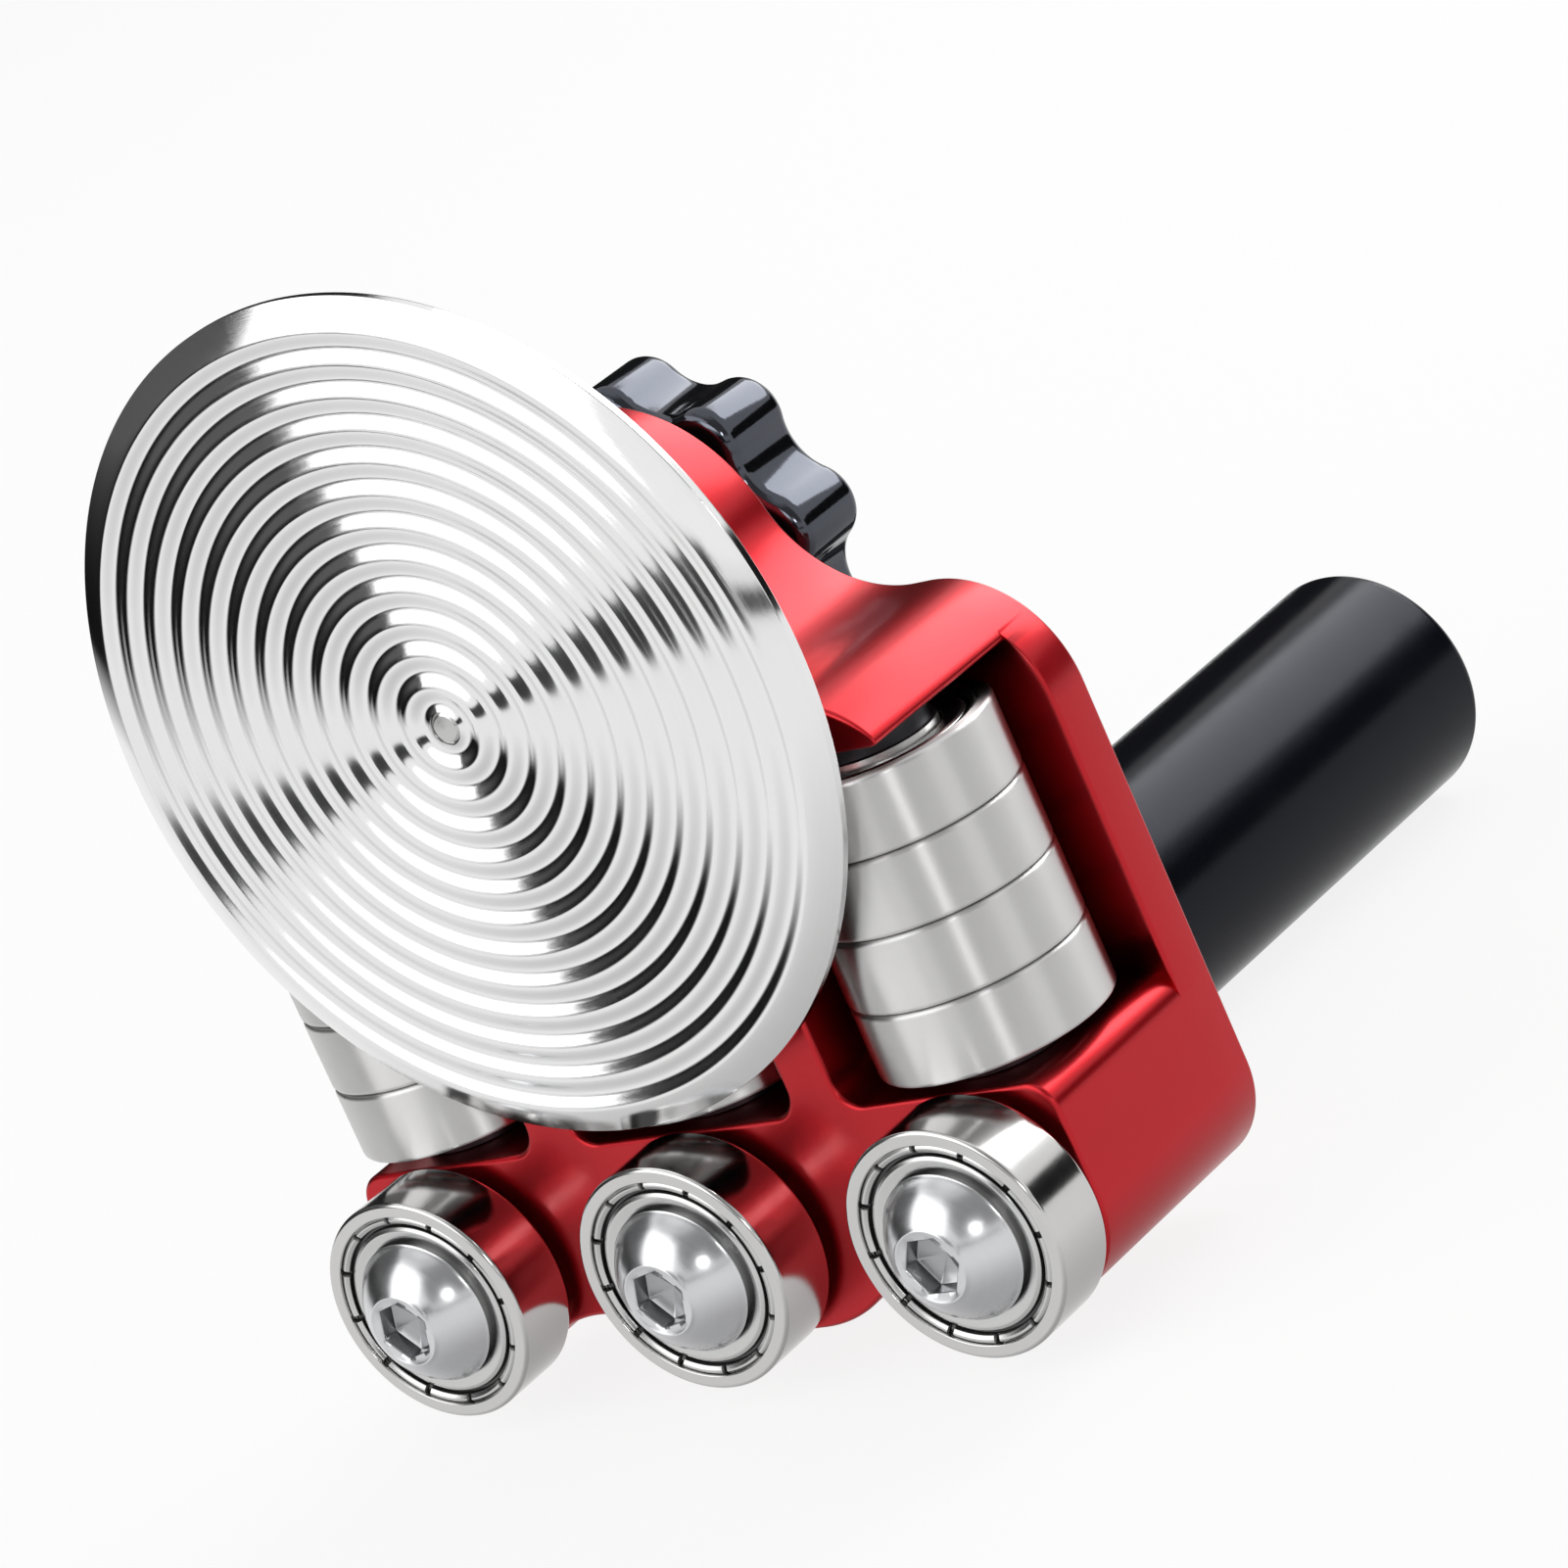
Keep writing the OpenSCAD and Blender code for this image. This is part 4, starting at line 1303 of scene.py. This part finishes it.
@dataclass(frozen=True)
class Card:
    """Card for the metal to reflect: a patch of a sphere about the disc, in metres.

    Its corners are azimuth and elevation in degrees, in order. Its glow goes from low to high with a power
    of the height, and fades to white at its foot over a soft share of the height.
    """

    name: str
    distance: float
    corners: tuple[tuple[float, float], ...]
    low: float
    high: float
    soft: float = 0.0
    power: int = 4
    points: int = 17
    centre: Triple = (0.0, -0.025, 0.0546)

    def build(self) -> None:
        """Makes the card: a blend of its four directions over a square grid, carried out to the sphere."""
        c = np.array(self.corners)
        even = np.linspace(0, 1, self.points)
        u, v = (k.reshape(-1, 1) for k in np.meshgrid(even, even))
        foot, head = c[0] + u * (c[1] - c[0]), c[3] + u * (c[2] - c[3])
        at = foot + v * (head - foot)
        places = np.array(self.centre) + self.distance * direction(at[:, 0], at[:, 1])
        quads = grid(self.points, self.points, rows_join=False, across_join=False)
        mesh = mesh_of(self.name, Skin(places, quads), unit=1.0)
        level = self.low + (self.high - self.low) * v[:, 0]**self.power
        fade = np.clip(1 - v[:, 0] / self.soft, 0, 1) if self.soft else 0.0
        note(mesh, "glow", level + (1 - level) * fade)
        made = bpy.data.materials.new(self.name)
        fill = Nodes.fresh(made)
        strength = fill.add("ShaderNodeAttribute", attribute_name="glow").outputs["Fac"]
        glow = fill.add("ShaderNodeEmission", {"Color": WHITE, "Strength": strength})
        fill.add("ShaderNodeOutputMaterial", {"Surface": glow.outputs[0]})
        mesh.materials.append(made)
        card = link(self.name, mesh)
        card.visible_camera = card.visible_diffuse = card.visible_shadow = False


@dataclass(frozen=True)
class Lamp:
    """Soft lamp that looks at the object: place in degrees, lengths in metres, power in watts."""

    name: str
    shape: str
    azimuth: float
    elevation: float
    distance: float
    width: float
    height: float
    power: float

    def build(self) -> None:
        """Makes the lamp and turns it to the object."""
        data = bpy.data.lights.new(self.name, "AREA")
        data.shape, data.size, data.size_y, data.energy = self.shape, self.width, self.height, self.power
        back = direction(self.azimuth, self.elevation)
        side = np.cross([0, 0, 1], back)
        side /= np.linalg.norm(side)
        aim(link(self.name, data), back * self.distance, (side, np.cross(back, side), back))


@dataclass
class Studio:
    """Pale floor, white surround, soft lamps and dark cards for the metal to reflect, and the camera."""

    floor_z: float = -0.0123
    floor_half: float = 6.0
    floor_colour: tuple[float, float, float, float] = (0.9, 0.9, 0.9, 1.0)
    gloss_share: float = 0.8
    camera_share: float = 0.86
    # Floor glow in reflections from steep to grazing views: painted shade, greyer looking straight down as
    # if beneath the object.
    steep_shade: tuple[float, float, float, float] = (0.1, 0.62, 0.5, 1.0)
    shown: float = 1.0
    lit: float = 0.45
    camera_place: Triple = (0.435064, -0.457987, 0.199588)
    right: Triple = (0.73707, 0.5505, -0.39201)
    up: Triple = (0.13479, 0.44866, 0.88348)
    back: Triple = (0.66224, -0.70403, 0.25649)
    sensor: float = 36.0
    lens: float = 36.0 * 7481.5 / 1601.0
    clip: tuple[float, float] = (0.01, 50.0)
    cards: tuple[Card, ...] = (
        Card("left_card", 0.3, ((-108, -8.5), (-41, -12.6), (-46, 15), (-108, 15)), 0.005, 0.1, 0.25),
        Card("high_left_card", 0.3, ((-108, 15), (-46, 15), (-62, 48), (-108, 48)), 0.1, 0.02),
        Card("back_left_card", 0.4, ((-158, -9), (-108, -6.5), (-108, 48), (-158, 37)), 0.02, 0.02),
        Card("front_strip", 0.3, ((-22, -11), (12, -10.5), (12, 3.5), (-22, -6)), 0.04, 0.04, 0.2),
        Card("long_strip", 0.44, ((12, -7), (75, -5.5), (75, -3), (12, -3)), 0.03, 0.03),
        Card("right_strip", 0.7, ((98, -6), (170, -6), (170, 13), (98, 10)), 0.01, 0.01),
        Card("right_card", 1.9, ((22, 5), (80, 5), (84, 60), (0, 60)), 0.28, 0.35, 0.15),
        Card("high_card", 1.9, ((-80, 60), (98, 60), (98, 72), (-80, 72)), 0.7, 0.7),
    )
    lamps: tuple[Lamp, ...] = (
        Lamp("front_box", "RECTANGLE", -33.0, 33.5, 1.5, 1.9, 1.37, 9.7),
        Lamp("back_box", "RECTANGLE", 168.0, 37.0, 1.2, 0.95, 0.6, 7.5),
        Lamp("round_lamp", "DISK", 44.0, 17.0, 1.5, 0.2, 0.2, 1.7),
    )

    @staticmethod
    def seen(fill: Nodes) -> tuple[Socket, Socket]:
        """One for rays from the camera, and one for rays from the camera, off gloss and through glass."""
        path = fill.add("ShaderNodeLightPath").outputs
        some = fill.maths("MAXIMUM", path["Is Camera Ray"], path["Is Glossy Ray"])
        return path["Is Camera Ray"], fill.maths("MAXIMUM", some, path["Is Transmission Ray"])

    def surround(self, world: bpy.types.World) -> None:
        """White surround for camera, glossy and clear rays, and a softer one that lights the object.

        Args:
            world: the world that gets it.
        """
        fill = Nodes.fresh(world)
        lights, shows = (fill.add("ShaderNodeBackground", {"Color": WHITE, "Strength": strength}).outputs[0]
                         for strength in (self.lit, self.shown))
        mix = fill.add("ShaderNodeMixShader", {0: self.seen(fill)[1], 1: lights, 2: shows})
        fill.add("ShaderNodeOutputWorld", {"Surface": mix.outputs[0]})

    def floor(self) -> None:
        """Pale floor that shows nearly white, keeps a soft shadow, and glows greyer where metal looks
        steeply down: painted shade for the floor beneath the object.
        """
        s, z = self.floor_half, self.floor_z
        corners = np.array([(-s, -s, z), (s, -s, z), (s, s, z), (-s, s, z)])
        mesh = mesh_of("floor", Skin(corners, np.arange(4)[None]), unit=1.0)
        made = bpy.data.materials.new("pale_floor")
        fill = Nodes.fresh(made)
        matt = fill.add("ShaderNodeBsdfDiffuse", {"Color": self.floor_colour})
        camera, seen = self.seen(fill)
        # Painted shade in reflections: the floor's glow dims where it is seen from steeply above.
        slant = fill.add("ShaderNodeLayerWeight", {"Blend": 0.5}).outputs["Facing"]
        strength = fill.maths("MAXIMUM", fill.ranged(slant, *self.steep_shade), camera)
        glow = fill.add("ShaderNodeEmission", {"Color": WHITE, "Strength": strength})
        share = fill.maths("MAXIMUM", fill.maths("MULTIPLY", seen, self.gloss_share),
                           fill.maths("MULTIPLY", camera, self.camera_share))
        mix = fill.add("ShaderNodeMixShader", {0: share, 1: matt.outputs[0], 2: glow.outputs[0]})
        fill.add("ShaderNodeOutputMaterial", {"Surface": mix.outputs[0]})
        mesh.materials.append(made)
        link("floor", mesh)

    def build(self) -> None:
        """Makes the floor, the light and the camera."""
        scene = bpy.context.scene
        scene.view_settings.view_transform = "Standard"
        if scene.world is None:
            scene.world = bpy.data.worlds.new("surround")
        self.surround(scene.world)
        self.floor()
        for thing in self.cards + self.lamps:
            thing.build()
        data = bpy.data.cameras.new("camera")
        data.lens, data.sensor_width = self.lens, self.sensor
        data.clip_start, data.clip_end = self.clip
        scene.camera = link("camera", data)
        aim(scene.camera, self.camera_place, (self.right, self.up, self.back))


def main() -> None:
    """Builds the studio and every sub-assembly in order."""
    logging.basicConfig(level=logging.INFO, format="%(name)s %(message)s")
    Studio().build()
    for part in (Body(), RollerStacks(), GuideRow(), RippledDisc(), KnobAndSpindle(), Handle()):
        part.build()
        LOG.info("%s done", type(part).__name__)


if __name__ == "__main__":
    main()
